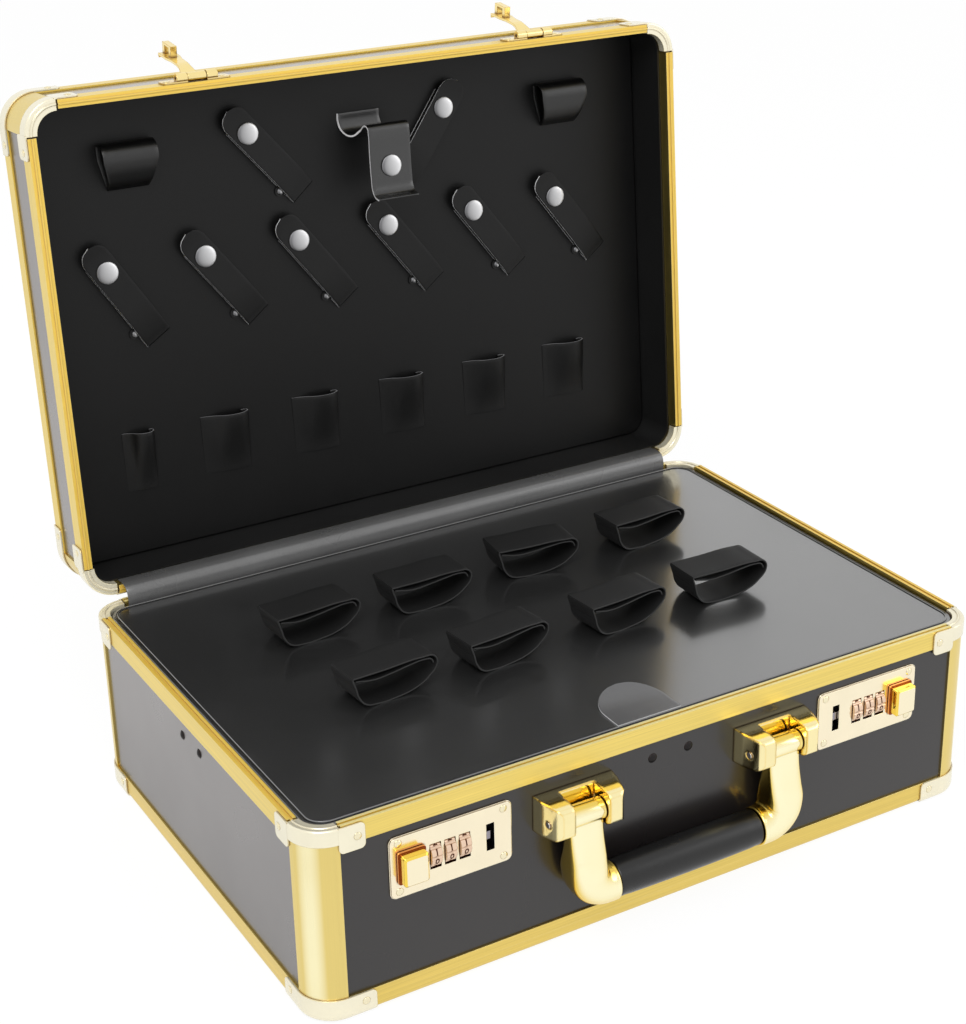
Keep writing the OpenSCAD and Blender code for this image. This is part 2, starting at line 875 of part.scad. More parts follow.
module handle_bracket(side) {
    back = 4.5;
    color(amber) at_case() translate([handle_mid + side * bracket_x, 0, pivot_z]) difference() {
        intersection() {
            translate([-bracket_w / 2, face_y, 0]) rotate([90, 0, 90]) linear_extrude(bracket_w)
                mirror([1, 0]) bracket_side();
            translate([0, face_y, -15]) linear_extrude(40) mirror([0, 1]) bracket_plan();
        }
        translate([-ear_gap / 2, face_y - back - 30, -20]) cube([ear_gap, 30, 50]);
        translate([-bracket_w, pivot_y, 0]) rotate([0, 90, 0])
            cylinder(r = handle_pin_r + fit, h = 2 * bracket_w);
    }
}

module left_handle_bracket() {
    handle_bracket(-1);
}

module right_handle_bracket() {
    handle_bracket(1);
}

module handle_pins() {
    color(silver) at_case() for (x = [-bracket_x, bracket_x])
        translate([handle_mid + x, pivot_y, pivot_z]) rotate([0, 90, 0])
            cylinder(r = handle_pin_r, h = bracket_w - 4, center = true);
}

// Front outline of an arm: straight down outside, then round to the grip's end
module arm_front() {
    low = -grip_drop - collar_r;
    top = -grip_drop + grip_r;
    polygon(concat([[arm_in, 0], [arm_out, 0]],
        curve([arm_out, -28], [arm_out, -46], [arm_out - 5.5, low], [grip_end + 10, low], 12),
        [[grip_end + 0.3, low], [grip_end + 0.3, top + 0.5]],
        curve([grip_end + 2, top + 2.5], [grip_end + 3, top + 10], [arm_in - 1, -20], [arm_in, -13], 8)));
}

// Side outline: a bar that widens to a round foot as thick as the grip
module arm_side() {
    t = arm_t / 2;
    neck = curve([t, -16], [t + 0.5, -30], [collar_r, -38], [collar_r, -grip_drop], 8);
    polygon(concat([[t, 0]], neck, arc([0, -grip_drop], collar_r, 0, -180, 24),
        [for (i = [len(neck) - 1:-1:0]) [-neck[i].x, neck[i].y]], [[-t, 0]]));
}

module handle_arm(side) {
    color(gold) at_case() translate([handle_mid, pivot_y, pivot_z]) mirror([side < 0 ? 1 : 0, 0, 0]) {
        difference() {
            union() {
                intersection() {
                    rotate([90, 0, 0]) linear_extrude(2 * collar_r + 2, center = true) arm_front();
                    rotate([90, 0, 90]) linear_extrude(200) arm_side();
                }
                translate([arm_in, 0, 0]) rotate([0, 90, 0]) cylinder(r = barrel_r, h = barrel_w);
            }
            translate([arm_in - 1, 0, 0]) rotate([0, 90, 0])
                cylinder(r = handle_pin_r + fit, h = barrel_w + 2);
        }
        translate([grip_end - spigot_len, 0, -grip_drop]) rotate([0, 90, 0])
            cylinder(r = spigot_r, h = spigot_len + 2);
    }
}

module left_handle_arm() {
    handle_arm(-1);
}

module right_handle_arm() {
    handle_arm(1);
}

// Grip: a crowned sleeve on the arms' spigots
module handle_grip() {
    waist = 0.6;
    color(soft_black) at_case() translate([handle_mid, pivot_y, grip_z]) rotate([0, 90, 0]) rotate_extrude()
        polygon(concat([[spigot_r + fit, -grip_end], [grip_r - 1, -grip_end]],
            [for (i = [-6:6]) [grip_r - waist * pow(abs(i) / 6, 2), i / 6 * (grip_end - 1)]],
            [[grip_r - 1, grip_end], [spigot_r + fit, grip_end]]));
}

// Tray: covered board with webbing loops and a finger flap
module tray_board() {
    bevel = 0.6;
    size = [tray_w, tray_back - tray_front];
    color(soft_black) at_case() translate([0, (tray_back + tray_front) / 2, tray_top - tray_t]) {
        linear_extrude(tray_t - bevel) rounded(size, tray_r);
        linear_extrude(tray_t) rounded(size - [2, 2] * bevel, tray_r - bevel);
    }
}

// Front view of a loop: flat top, sharp fold at the left, round right end, sewn foot
function loop_points() = let (w = loop_w / 2, h = loop_h)
    concat(curve([-w - 0.5, h - 4], [-w - 2, 8], [-w + 5, 0.5], [-15, 0], 5),
        curve([-7, 0], [-6, 0], [w - 14, 1.5], [w, h - 14], 5),
        curve([w, h - 6.5], [w, h - 2], [w - 2, h], [w - 8, h], 4), [[-w, h]]);

module tray_loops() {
    outline = loop_points();
    color(soft_black) at_case() for (i = [-1.5:1.5], y = row_y)
        translate([i * loop_pitch, y + webbing_w / 2, tray_top]) rotate([90, 0, 0])
            linear_extrude(webbing_w) difference() {
                polygon(outline);
                polygon(inset(outline, webbing_t));
            }
}

// Tongue of thin leatherette that lifts the tray, a little curled up at its end
module finger_flap() {
    rise = curve([0, 0.4], [flap_len * 0.4, 0.4], [flap_len * 0.7, 1.4], [flap_len, 4.5], 8);
    color(soft_black) at_case() translate([flap_x, tray_front + 4, tray_top]) intersection() {
        rotate([90, 0, 90]) linear_extrude(flap_w, center = true) polygon(ribbon(rise, 0.8));
        translate([0, 0, -1]) linear_extrude(10) {
            translate([0, flap_len - flap_w / 2]) circle(flap_w / 2);
            translate([-flap_w / 2, 0]) square([flap_w, flap_len - flap_w / 2]);
        }
    }
}

// Lid: parts in its own frame, its outside at z = 0 and its rim at z = lid_h, shut over the base,
// and then turned open about the hinge
module open_lid() {
    at_case() translate([0, hinge_y, hinge_z]) rotate([-lid_open, 0, 0])
        translate([0, -hinge_y, -hinge_z]) children();
}

module in_lid() {
    open_lid() translate([0, 0, lid_top]) mirror([0, 0, 1]) children();
}

module lid_top_panel() {
    color(black) in_lid() flat_panel();
}

module lid_wall_panels() {
    color(black) in_lid() {
        both_y() front_panel(lid_h);
        both_x() left_panel(lid_h);
    }
}

// The lid's leaf is the base's, turned over the seam
module over_seam() {
    translate([0, 0, 2 * hinge_z]) mirror([0, 0, 1]) children();
}

module lid_rim_rails() {
    color(gold) difference() {
        in_lid() {
            both_y() front_rim_rail(lid_h, true);
            both_x() left_rim_rail(lid_h, true);
        }
        open_lid() {
            over_seam() leaf_rivet_places() shank_hole(leaf_t + leg_t);
            hasp_rivet_places() shank_hole(leg_t + leg_t);
        }
    }
}

module lid_edge_rails() {
    color(gold) in_lid() edge_rails(lid_edge_face);
}

module lid_corner_posts() {
    color(gold) in_lid() posts(lid_h);
}

module lid_rim_corners() {
    color(pale_gold) in_lid() rim_corners(lid_h);
}

module lid_top_corners() {
    color(pale_gold) in_lid() outer_corners(lid_edge_face);
}

module lid_rivets() {
    color(pale_gold) {
        in_lid() {
            tab_rivets(lid_h - tab_z) rivet(skin_t + leg_t);
            tab_rivets(cap_rivet_z) rivet(skin_t + leg_t);
        }
        open_lid() {
            over_seam() leaf_rivet_places() rivet(leaf_t + leg_t);
            hasp_rivet_places() rivet(leg_t + leg_t);
        }
    }
}

module lid_lining() {
    color(soft_black) in_lid() tub(lid_h);
}

// Board of the organiser, on a padded frame that stands on the lining
module organiser_board() {
    size = [case_w, case_d] - [2, 2] * (inside_u + joint_gap);
    r = corner_r - inside_u - joint_gap;
    foot = floor_top + lining_t;
    color(soft_black) in_lid() difference() {
        translate([0, 0, foot]) linear_extrude(board_z - foot) rounded(size, r);
        translate([0, 0, foot - 1]) linear_extrude(board_z - organiser_t - foot + 1)
            rounded(size - [40, 40], r);
    }
}

// Snap strap: a back layer on the board and a front tongue with a round end, joined at the foot
module strap_layers() {
    front = curve([1, 1.4], [16, 5.5], [30, 5.6], [strap_len, 4.4], 8);
    back = [[0, strap_t / 2], [strap_len - 12, strap_t / 2]];
    intersection() {
        rotate([90, 0, 90]) linear_extrude(strap_w, center = true) {
            polygon(ribbon(front, strap_t));
            polygon(ribbon(back, strap_t));
            translate([0, 0]) square([5, 2.2]);
        }
        translate([0, 0, -1]) linear_extrude(12) {
            translate([0, strap_len - strap_w / 2]) circle(strap_w / 2);
            translate([-strap_w / 2, 0]) square([strap_w, strap_len - strap_w / 2]);
        }
    }
    strap_rivet_place() cylinder(r = 3.6, h = strap_t);
}

// Place of the small rivet beside a strap's foot, on a lug of its back layer
module strap_rivet_place() {
    translate([-strap_w / 2 - 1, 13, 0]) children();
}

// Foot of a strap whose stud is at x, y, slanting by tilt degrees
module strap_frame(x, y, tilt) {
    translate([x, y, board_z]) rotate(180 - tilt) translate([0, -stud_at, 0]) children();
}

module strap_places() {
    for (i = [-2.5:2.5]) strap_frame(strap_mid + i * column_pitch, stud_y, strap_tilt) children();
    strap_frame(-76.5, -115, strap_tilt + 3) children();
    strap_frame(66, -114, -strap_tilt + 1) children();
}

module tool_straps() {
    color(soft_black) in_lid() strap_places() strap_layers();
}

hook_x = 13.5;
hook_w = 30;
hook_stud_y = -85;
hook_rise = 25.6;

// Wide strap sewn on at its top, that folds out over a dryer and ends in a free lip
module hook_strap() {
    line = concat([[-119, webbing_t / 2], [-115, webbing_t / 2]],
        curve([-111, webbing_t / 2 + 0.4], [-104.5, 2], [-102.5, 8], [-106, 12], 5),
        curve([-109, 15], [-114, 20.5], [-113.5, hook_rise], [-106, hook_rise], 5),
        curve([-76, hook_rise], [-69, hook_rise], [-66.5, 29], [-65, 34.5], 5));
    color(soft_black) in_lid() translate([hook_x, 0, board_z])
        rotate([90, 0, 90]) linear_extrude(hook_w, center = true) polygon(ribbon(line, webbing_t));
}

corner_loop_x = [-157, 158];
corner_loop_w = 38;

// Band that bulges off the board, open at its two sides
module corner_loops() {
    outline = concat(curve([-90, 0], [-91, 7], [-98, 12], [-107, 14], 5),
        curve([-112, 15], [-120, 15], [-124, 8], [-121, 0], 5));
    color(soft_black) in_lid() for (x = corner_loop_x)
        translate([x, 0, board_z]) rotate([90, 0, 90]) linear_extrude(corner_loop_w, center = true)
            difference() {
                polygon(outline);
                polygon(inset(outline, webbing_t));
            }
}

// Sleeve for scissors or combs: a front layer that bulges towards its right edge
module tool_sleeves() {
    w = sleeve_w / 2;
    line = concat([[-w - 3, 0.5]], curve([-w, 0.5], [-w + 8, 2.5], [0, 6.8], [w - 6, 7.4], 6),
        curve([w - 3, 7.6], [w + 1.5, 7], [w + 1, 0.6], [w - 4, 0.5], 6));
    color(soft_black) in_lid() for (i = [-2.5:2.5])
        translate([column_mid + i * column_pitch, sleeve_y[1], board_z])
            rotate([90, 0, 0]) linear_extrude(sleeve_len) polygon(ribbon(line, strap_t));
}

// A low dome of radius r and height h
module dome(r, h) {
    ball = (r * r + h * h) / (2 * h);
    intersection() {
        translate([0, 0, h - ball]) sphere(ball);
        cylinder(r = r, h = h + 1);
    }
}

module strap_studs() {
    stud_seat = 5.6;
    color(silver) in_lid() {
        strap_places() {
            translate([0, stud_at, stud_seat]) dome(stud_r, stud_h);
            translate([0, stud_at, strap_t]) cylinder(r = 2.5, h = 3.1);
            strap_rivet_place() translate([0, 0, strap_t]) dome(2.2, 1.5);
        }
        translate([hook_x, hook_stud_y, board_z + hook_rise + webbing_t / 2]) dome(stud_r, stud_h);
    }
}

module hinge_lid_leaf() {
    color(gold) open_lid() over_seam() leaf(1);
}

// Leatherette strip over the hinge, from the base's back rail to the lid's, as it lies with the lid open
module hinge_cover_strip() {
    low = half_d - rim_t - 0.45;
    line = concat([[low, base_h - rim_inner + 0.3], [low, base_h - 1]],
        curve([low + 0.1, base_h + 2], [low + 0.8, base_h + 7], [hinge_y - 3, base_h + 8.9],
            [hinge_y + 2, base_h + 8.7], 6),
        [[hinge_y + 8.5, base_h + 7.85]]);
    color(soft_black) at_case() rotate([90, 0, 90]) linear_extrude(case_w - 46, center = true)
        polygon(ribbon(line, 0.8));
}

// Hasps: a base plate on the lid's rim rail with two knuckles, a pin, and a sprung arm whose
// ring goes through the lock plate's slot. They are drawn shut and then folded back.
module hasp_frames() {
    for (side = [-1, 1]) translate([side * hasp_x, 0, 0]) children();
}

module hasp_rivet_places() {
    hasp_frames() for (x = [-1, 1])
        translate([x * (hasp_plate_w / 2 - 4), -half_d - leg_t, lid_z + 7]) rotate([90, 0, 0]) children();
}

module hasp_bases() {
    plate_h = 11.2;
    ear = 7;
    notch = [hasp_knuckle_r + 0.8, hasp_knuckle_r + 3.8];
    color(pale_gold) open_lid() difference() {
        hasp_frames() difference() {
            union() {
                translate([0, -half_d, lid_z + 0.8 + plate_h / 2]) rotate([90, 0, 0]) linear_extrude(leg_t)
                    rounded([hasp_plate_w, plate_h], 2.5);
                for (x = [-1, 1]) translate([x * (hasp_w / 2 + joint_gap + ear / 2), hasp_y, hasp_z])
                    rotate([0, 90, 0]) cylinder(r = hasp_knuckle_r, h = ear, center = true);
            }
            translate([-hasp_w / 2 - joint_gap, -half_d - 2 * leg_t, hasp_z - notch[0]])
                cube([hasp_w + 2 * joint_gap, 4 * leg_t, notch[0] + notch[1]]);
            translate([0, hasp_y, hasp_z]) rotate([0, 90, 0])
                cylinder(r = hasp_pin_r + fit, h = hasp_plate_w, center = true);
        }
        hasp_rivet_places() shank_hole(leg_t);
    }
}

module hasp_pins() {
    color(silver) open_lid() hasp_frames() translate([0, hasp_y, hasp_z]) rotate([0, 90, 0])
        cylinder(r = hasp_pin_r, h = hasp_w + 12, center = true);
}

// Side outline of the arm as (outwards, up) from the pin
function hasp_line() = let (reach = hasp_z - ring_z, near = lock_face - hasp_y - hasp_t / 2 - 0.6)
    concat([[-1.6, 0], [-1.7, -4]], curve([-1.9, -9], [-1.5, -14], [near - 0.4, -16], [near, -22], 6),
        [[near, -reach - 5]], curve([near, -reach - 6], [near, -reach - 7.5], [near - 1.4, -reach - 8.6],
            [near - 2.6, -reach - 9], 4));

module hasp(side) {
    line = hasp_line();
    reach = hasp_z - ring_z;
    back = lock_face - hasp_y - 0.6;
    tall = ring_open + 2 * ring_leg;
    color(pale_gold) open_lid() translate([side * hasp_x, hasp_y, hasp_z]) rotate([-hasp_open, 0, 0]) {
        difference() {
            union() {
                intersection() {
                    rotate([90, 0, 90]) linear_extrude(hasp_w, center = true)
                        polygon(ribbon(line, hasp_t));
                    rotate([90, 0, 0]) linear_extrude(30, center = true)
                        polygon([[-hasp_w / 2, 3], [-hasp_w / 2, -6], [-3.8, -18], [-3.8, -30],
                            [-5, -36], [-5, -reach - 7], [-3.5, -reach - 9], [3.5, -reach - 9],
                            [5, -reach - 7], [5, -36], [3.8, -30], [3.8, -18], [hasp_w / 2, -6],
                            [hasp_w / 2, 3]]);
                }
                rotate([0, 90, 0]) cylinder(r = hasp_knuckle_r - joint_gap, h = hasp_w, center = true);
            }
            rotate([0, 90, 0]) cylinder(r = hasp_pin_r + fit, h = hasp_w + 1, center = true);
        }
        difference() {
            translate([-ring_w / 2, back - hasp_t / 2, -reach - tall / 2])
                cube([ring_w, ring_depth + hasp_t / 2, tall]);
            translate([-ring_w, back, -reach - ring_open / 2])
                cube([2 * ring_w, ring_depth - 1.6, ring_open]);
        }
    }
}

module left_hasp() {
    hasp(-1);
}

module right_hasp() {
    hasp(1);
}

base_front_panel();
base_back_panel();
base_side_panels();
base_floor_panel();
base_front_rim_rail();
base_back_rim_rail();
base_side_rim_rails();
base_edge_rails();
base_corner_posts();
base_rim_corners();
base_foot_corners();
base_rivets();
base_lining();
tray_brackets();
bracket_rivets();
hinge_base_leaf();
hinge_pin();
left_lock_plate();
right_lock_plate();
lock_housings();
dial_axles();
lock_rivets();
left_handle_bracket();
right_handle_bracket();
handle_pins();
left_handle_arm();
right_handle_arm();
handle_grip();
left_lock_slide();
right_lock_slide();
left_dial_1();
left_dial_2();
left_dial_3();
right_dial_1();
right_dial_2();
right_dial_3();
tray_board();
tray_loops();
finger_flap();
lid_top_panel();
lid_wall_panels();
lid_rim_rails();
lid_edge_rails();
lid_corner_posts();
lid_rim_corners();
lid_top_corners();
lid_rivets();
organiser_board();
lid_lining();
tool_straps();
hook_strap();
corner_loops();
tool_sleeves();
strap_studs();
hinge_lid_leaf();
hinge_cover_strip();
hasp_bases();
hasp_pins();
left_hasp();
right_hasp();
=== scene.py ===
# %% [markdown]
# A hairdresser's case: black laminated panels held in gold aluminium rails, pressed metal corners,
# two number locks, a carrying handle, a lift-out tray and a lid full of straps and sleeves.
# The hard parts come from the CAD model, which is loaded first and stays where it is. Everything
# soft is modelled here, and every surface gets a material made of nodes.
# %% Load the CAD model as a fixed frame
import json
import math

import bmesh
import bpy
from mathutils import Matrix, Vector


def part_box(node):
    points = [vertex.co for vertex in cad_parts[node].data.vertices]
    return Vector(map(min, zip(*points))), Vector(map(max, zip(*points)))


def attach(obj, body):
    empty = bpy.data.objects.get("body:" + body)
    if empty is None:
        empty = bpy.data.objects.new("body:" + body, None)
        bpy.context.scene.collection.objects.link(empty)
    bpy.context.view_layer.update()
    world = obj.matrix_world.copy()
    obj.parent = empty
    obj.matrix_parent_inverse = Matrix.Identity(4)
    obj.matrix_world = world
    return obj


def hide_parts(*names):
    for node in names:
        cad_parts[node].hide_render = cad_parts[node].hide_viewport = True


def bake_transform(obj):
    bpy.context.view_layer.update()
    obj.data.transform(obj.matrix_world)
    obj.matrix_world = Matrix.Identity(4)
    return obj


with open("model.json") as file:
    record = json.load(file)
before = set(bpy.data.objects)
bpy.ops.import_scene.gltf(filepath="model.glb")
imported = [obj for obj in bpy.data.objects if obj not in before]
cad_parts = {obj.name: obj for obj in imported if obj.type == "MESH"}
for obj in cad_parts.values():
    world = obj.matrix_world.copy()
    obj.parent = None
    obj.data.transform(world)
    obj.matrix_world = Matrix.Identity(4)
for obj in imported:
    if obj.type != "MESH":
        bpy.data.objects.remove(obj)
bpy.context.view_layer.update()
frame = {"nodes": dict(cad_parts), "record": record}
nodes = frame["nodes"]
MM = 0.001
# The case's own y runs in millimetres from the middle of the shut case. The hinge is at HINGE_Y
# there, and the frame's origin at CASE_Y.
HINGE_Y = 159.3
hinge = sum(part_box("hinge_pin"), Vector()) / 2
CASE_Y = HINGE_Y - hinge.y / MM


def short(box):
    """The numbers of a box, rounded for printing."""
    return [[round(v, 4) for v in corner] for corner in box]


# %% [markdown]
# The camera stands where the photographer stood: to the left of the case, a little above it, with
# a long lens. The small shift places the case in the picture without turning the camera.
# %% Camera
bpy.ops.object.camera_add(location=(-0.5803, -1.00241, 0.69675))
camera = bpy.context.object
camera.rotation_euler = [math.radians(a) for a in (66.78807824, 0.49629109, -31.68082924)]
camera.data.lens = 71.18
camera.data.sensor_width = 36
camera.data.shift_x = -0.0654
camera.data.shift_y = -0.0283
camera.data.clip_start = 0.01
bpy.context.scene.camera = camera
bpy.context.scene.view_settings.view_transform = "Standard"
print("camera lens:", camera.data.lens)

# %% [markdown]
# A material is a graph of nodes. These helpers keep the graphs readable: they turn the numbers of
# a colour picker into linear ones, add a node and join its inputs, and start a material.
# %% Helpers for materials
def rgb(r, g, b):
    """Linear colour from the 0 to 255 numbers of a colour picker."""
    return tuple(((c / 255 + 0.055) / 1.055) ** 2.4 for c in (r, g, b)) + (1,)


def add_node(material, kind, inputs=None, **settings):
    """Adds a shader node. An input is a plain value, or the output of another node."""
    made = material.node_tree.nodes.new("ShaderNode" + kind)
    for name, value in settings.items():
        setattr(made, name, value)
    for name, value in (inputs or {}).items():
        if isinstance(value, bpy.types.NodeSocket):
            material.node_tree.links.new(value, made.inputs[name])
        else:
            made.inputs[name].default_value = value
    return made


def start_material(name, **values):
    """A material whose shader has these plain values on its sockets."""
    material = bpy.data.materials.new(name)
    material.use_nodes = True
    shader = material.node_tree.nodes["Principled BSDF"]
    for key, value in values.items():
        shader.inputs[key.replace("_", " ")].default_value = value
    return material, shader


def feed(material, shader, **sources):
    """Joins the outputs of other nodes to the shader's sockets of these names."""
    for key, source in sources.items():
        material.node_tree.links.new(source, shader.inputs[key.replace("_", " ")])


def math_node(material, operation, a, b=0.0):
    return add_node(material, "Math", {0: a, 1: b}, operation=operation).outputs[0]


def dot(material, a, b):
    """How far vector a looks along vector b."""
    made = add_node(material, "VectorMath", {0: a, 1: b}, operation="DOT_PRODUCT")
    return made.outputs["Value"]


def noise(material, where, scale, detail, **more):
    inputs = {"Vector": where, "Scale": scale, "Detail": detail, **more}
    return add_node(material, "TexNoise", inputs).outputs["Fac"]


def bumps(material, strength, deep, height, **more):
    """A normal that follows height, with bumps as deep as deep in millimetres."""
    inputs = {"Strength": strength, "Distance": deep * MM, "Height": height, **more}
    return add_node(material, "Bump", inputs).outputs[0]


def ramp(material, value, low, high, out_low=0.0, out_high=1.0):
    """Stretches value so that low to high becomes out_low to out_high."""
    inputs = {"Value": value, "From Min": low, "From Max": high, "To Min": out_low,
              "To Max": out_high}
    return add_node(material, "MapRange", inputs, clamp=True).outputs[0]


def mix(material, factor, a, b):
    """Colour a where factor is 0 and colour b where it is 1."""
    made = add_node(material, "Mix", {0: factor, 6: a, 7: b}, data_type="RGBA")
    return made.outputs[2]


def shade(colour, factor):
    return tuple(c * factor for c in colour[:3]) + (1,)


# %% [markdown]
# The picture has a white background and next to no shadow. The world is white to the camera and to
# reflections, and dimmer as a light. The floor mixes a lit surface with a white glow for the
# camera, so it stays white and still keeps a faint shadow of the case.
# %% World, floor and lamps
WHITE = (1, 1, 1, 1)


def seen_directly(owner):
    """1 for rays from the camera, mirrors and glass, 0 for the light that falls on things."""
    rays = add_node(owner, "LightPath").outputs
    seen = math_node(owner, "MAXIMUM", rays["Is Camera Ray"], rays["Is Glossy Ray"])
    return math_node(owner, "MAXIMUM", seen, rays["Is Transmission Ray"])


def mix_shaders(owner, factor, first, second, output):
    """Shows the first shader where factor is 0 and the second where it is 1."""
    both = add_node(owner, "MixShader", {0: factor, 1: first.outputs[0], 2: second.outputs[0]})
    tree = owner.node_tree
    tree.links.new(both.outputs[0], tree.nodes[output].inputs["Surface"])


world = bpy.data.worlds.new("studio")
bpy.context.scene.world = world
world.use_nodes = True
sky = world.node_tree.nodes["Background"]
sky.inputs["Color"].default_value = WHITE
sky.inputs["Strength"].default_value = 0.58
backdrop = add_node(world, "Background", {"Color": WHITE, "Strength": 1.0})
mix_shaders(world, seen_directly(world), sky, backdrop, "World Output")

bpy.ops.mesh.primitive_plane_add(size=30, location=(0, 0, 0))
floor = bpy.context.object
floor.name = "floor"
floor_finish, floor_shader = start_material("floor_white", Roughness=0.9,
                                            Base_Color=(0.85, 0.85, 0.85, 1))
floor.data.materials.append(floor_finish)
glow = add_node(floor_finish, "Emission", {"Color": WHITE, "Strength": 1.06})
glow_share = math_node(floor_finish, "MULTIPLY", seen_directly(floor_finish), 0.86)
mix_shaders(floor_finish, glow_share, floor_shader, glow, "Material Output")


def soft_box(name, place, aim, size, power):
    """A square lamp that looks from place towards aim."""
    bpy.ops.object.light_add(type="AREA", location=place)
    lamp = bpy.context.object
    lamp.name = name
    lamp.rotation_euler = (Vector(aim) - Vector(place)).to_track_quat("-Z", "Y").to_euler()
    lamp.data.size = size
    lamp.data.energy = power
    return lamp


soft_box("key", (-1.2, -1.6, 2.4), (0, 0, 0.2), 1.6, 40)
soft_box("fill", (1.9, -1.4, 1.2), (0, 0, 0.2), 1.4, 9)

# %% [markdown]
# Metal looks real when its edges, corners and faces differ a little. A Bevel node finds the edges,
# where the rounded normal differs from the true one, for a painted highlight or painted shade. The
# object's own normal tells which way a face looks, for colour by direction that is painted
# reflection and shade, and an Ambient Occlusion node finds the inner corners, which get painted
# shade.
# %% Masks by edge, direction and inner corner
CORNER_X = 0.2095


def place_of(material):
    return add_node(material, "TexCoord").outputs["Object"]


def edge_mask(material, radius, samples=4):
    """The rounded normal, and a mask that is 1 at the edges."""
    rounded = add_node(material, "Bevel", {"Radius": radius}, samples=samples).outputs[0]
    true = add_node(material, "NewGeometry").outputs["Normal"]
    return rounded, ramp(material, dot(material, rounded, true), 0.99, 0.8)


def facing(material, direction, low=0.9, high=0.97):
    """A mask that is 1 where the surface looks along a direction of its own object."""
    normal = add_node(material, "TexCoord").outputs["Normal"]
    return ramp(material, dot(material, normal, direction), low, high)


def creases(material, tone, distance, colour=None, amount=0.85):
    """Paints shade into inner corners, as far out as distance in millimetres."""
    open_sky = add_node(material, "AmbientOcclusion", {"Distance": distance * MM},
                        samples=6).outputs["AO"]
    depth = ramp(material, open_sky, 0.5, 0.93, amount, 0.0)
    return mix(material, depth, tone, colour or rgb(104, 56, 18))


# %% [markdown]
# Brushed aluminium has fine lines that run along the rail. They come from noise that is stretched
# more than a hundred times further along the rail than across it. The side rails run the other
# way, so past a certain distance from the middle the noise is stretched along the side instead.
# %% Brushed metal
def stretched(material, run, side=None):
    """Object coordinates scaled so that noise streaks along the rail."""
    place = place_of(material)
    along = add_node(material, "VectorMath", {0: place, 1: run}, operation="MULTIPLY").outputs[0]
    if side is None:
        return along
    across = add_node(material, "VectorMath", {0: place, 1: side}, operation="MULTIPLY").outputs[0]
    x = add_node(material, "SeparateXYZ", {0: place}).outputs["X"]
    far = math_node(material, "GREATER_THAN", math_node(material, "ABSOLUTE", x), CORNER_X)
    chosen = add_node(material, "Mix", {0: far, 4: along, 5: across}, data_type="VECTOR")
    return chosen.outputs[1]


def metal(name, colour, rough, run, side=None, mating=None, deep=None, grain=1.0, band=False):
    """Brushed metal: fine lines along the rail, a painted highlight on the edges and painted shade
    in inner corners. Faces that look along mating are less mirror-like and take the colour deep as a
    painted reflection; band paints a highlight down the middle of a round post."""
    material, shader = start_material(name, Metallic=1.0)
    where = stretched(material, run, side)
    lines = noise(material, where, 1.0, 3.0, Roughness=0.7)
    clouds = noise(material, place_of(material), 14.0, 2.0)
    rounded, edges = edge_mask(material, 0.4 * MM)
    streak = ramp(material, lines, 0.3, 0.7)
    tone = mix(material, streak, shade(colour, 1 - 0.16 * grain), shade(colour, 1 + 0.07 * grain))
    # Mating faces take the colour deep as a painted reflection.
    if mating:
        flat = facing(material, mating)
        tone = mix(material, flat, tone, mix(material, streak, shade(deep, 0.84), deep))
        feed(material, shader, Metallic=ramp(material, flat, 0.0, 1.0, 1.0, 0.15))
    # A painted highlight down the middle of a round post.
    if band:
        normal = add_node(material, "TexCoord").outputs["Normal"]
        folded = add_node(material, "VectorMath", {0: normal}, operation="ABSOLUTE").outputs[0]
        pale = ramp(material, dot(material, folded, band), 0.93, 0.995, 0.0, 0.9)
        tone = mix(material, pale, tone, rgb(255, 248, 206))
    tone = mix(material, ramp(material, clouds, 0.35, 0.7, 0.0, 0.25), tone, shade(colour, 0.9))
    # Painted highlight on the edges.
    tone = mix(material, math_node(material, "MULTIPLY", edges, 0.5), tone, rgb(255, 246, 200))
    # Painted shade in the inner corners.
    tone = creases(material, tone, 0.9, rgb(170, 120, 40), 0.4)
    dull = ramp(material, lines, 0.25, 0.75, rough - 0.05, rough + 0.09)
    bump = bumps(material, 0.2 * grain, 0.05, lines, Normal=rounded)
    feed(material, shader, Base_Color=tone, Roughness=dull, Normal=bump)
    return material


# %% [markdown]
# Cast and pressed pieces are polished, so they have no lines and show their surroundings. Three
# of them change colour over their surface, by place or by direction; the colour by direction is
# painted highlight, reflection and shade.
# %% Polished metal
def polished(name, colour, rough, edge=0.5, rim=None, corner_shade_reach=1.2, tone_of=None, mirror=1.0):
    """Smooth metal with faint smudges, edges rounded by edge millimetres that take the colour rim as
    a painted highlight or painted shade, and painted shade in inner corners. tone_of gives the
    colour by place instead of one colour; where it goes by direction, it is painted light."""
    material, shader = start_material(name, Metallic=mirror)
    smudge = noise(material, place_of(material), 60.0, 3.0)
    rounded, edges = edge_mask(material, edge * MM, 8)
    tone = tone_of(material) if tone_of else mix(material, ramp(material, smudge, 0.35, 0.7),
                                                 colour, shade(colour, 0.96))
    # The rim colour paints a highlight or shade on the rounded edges.
    if rim:
        tone = mix(material, edges, tone, rim)
    # Painted shade in the inner corners.
    if corner_shade_reach:
        tone = creases(material, tone, corner_shade_reach)
    dull = ramp(material, smudge, 0.3, 0.75, rough, rough + 0.04)
    feed(material, shader, Base_Color=tone, Roughness=dull, Normal=rounded)
    return material


BUTTON_STEP_Y, BOLT_Y = -159.2, -156.8


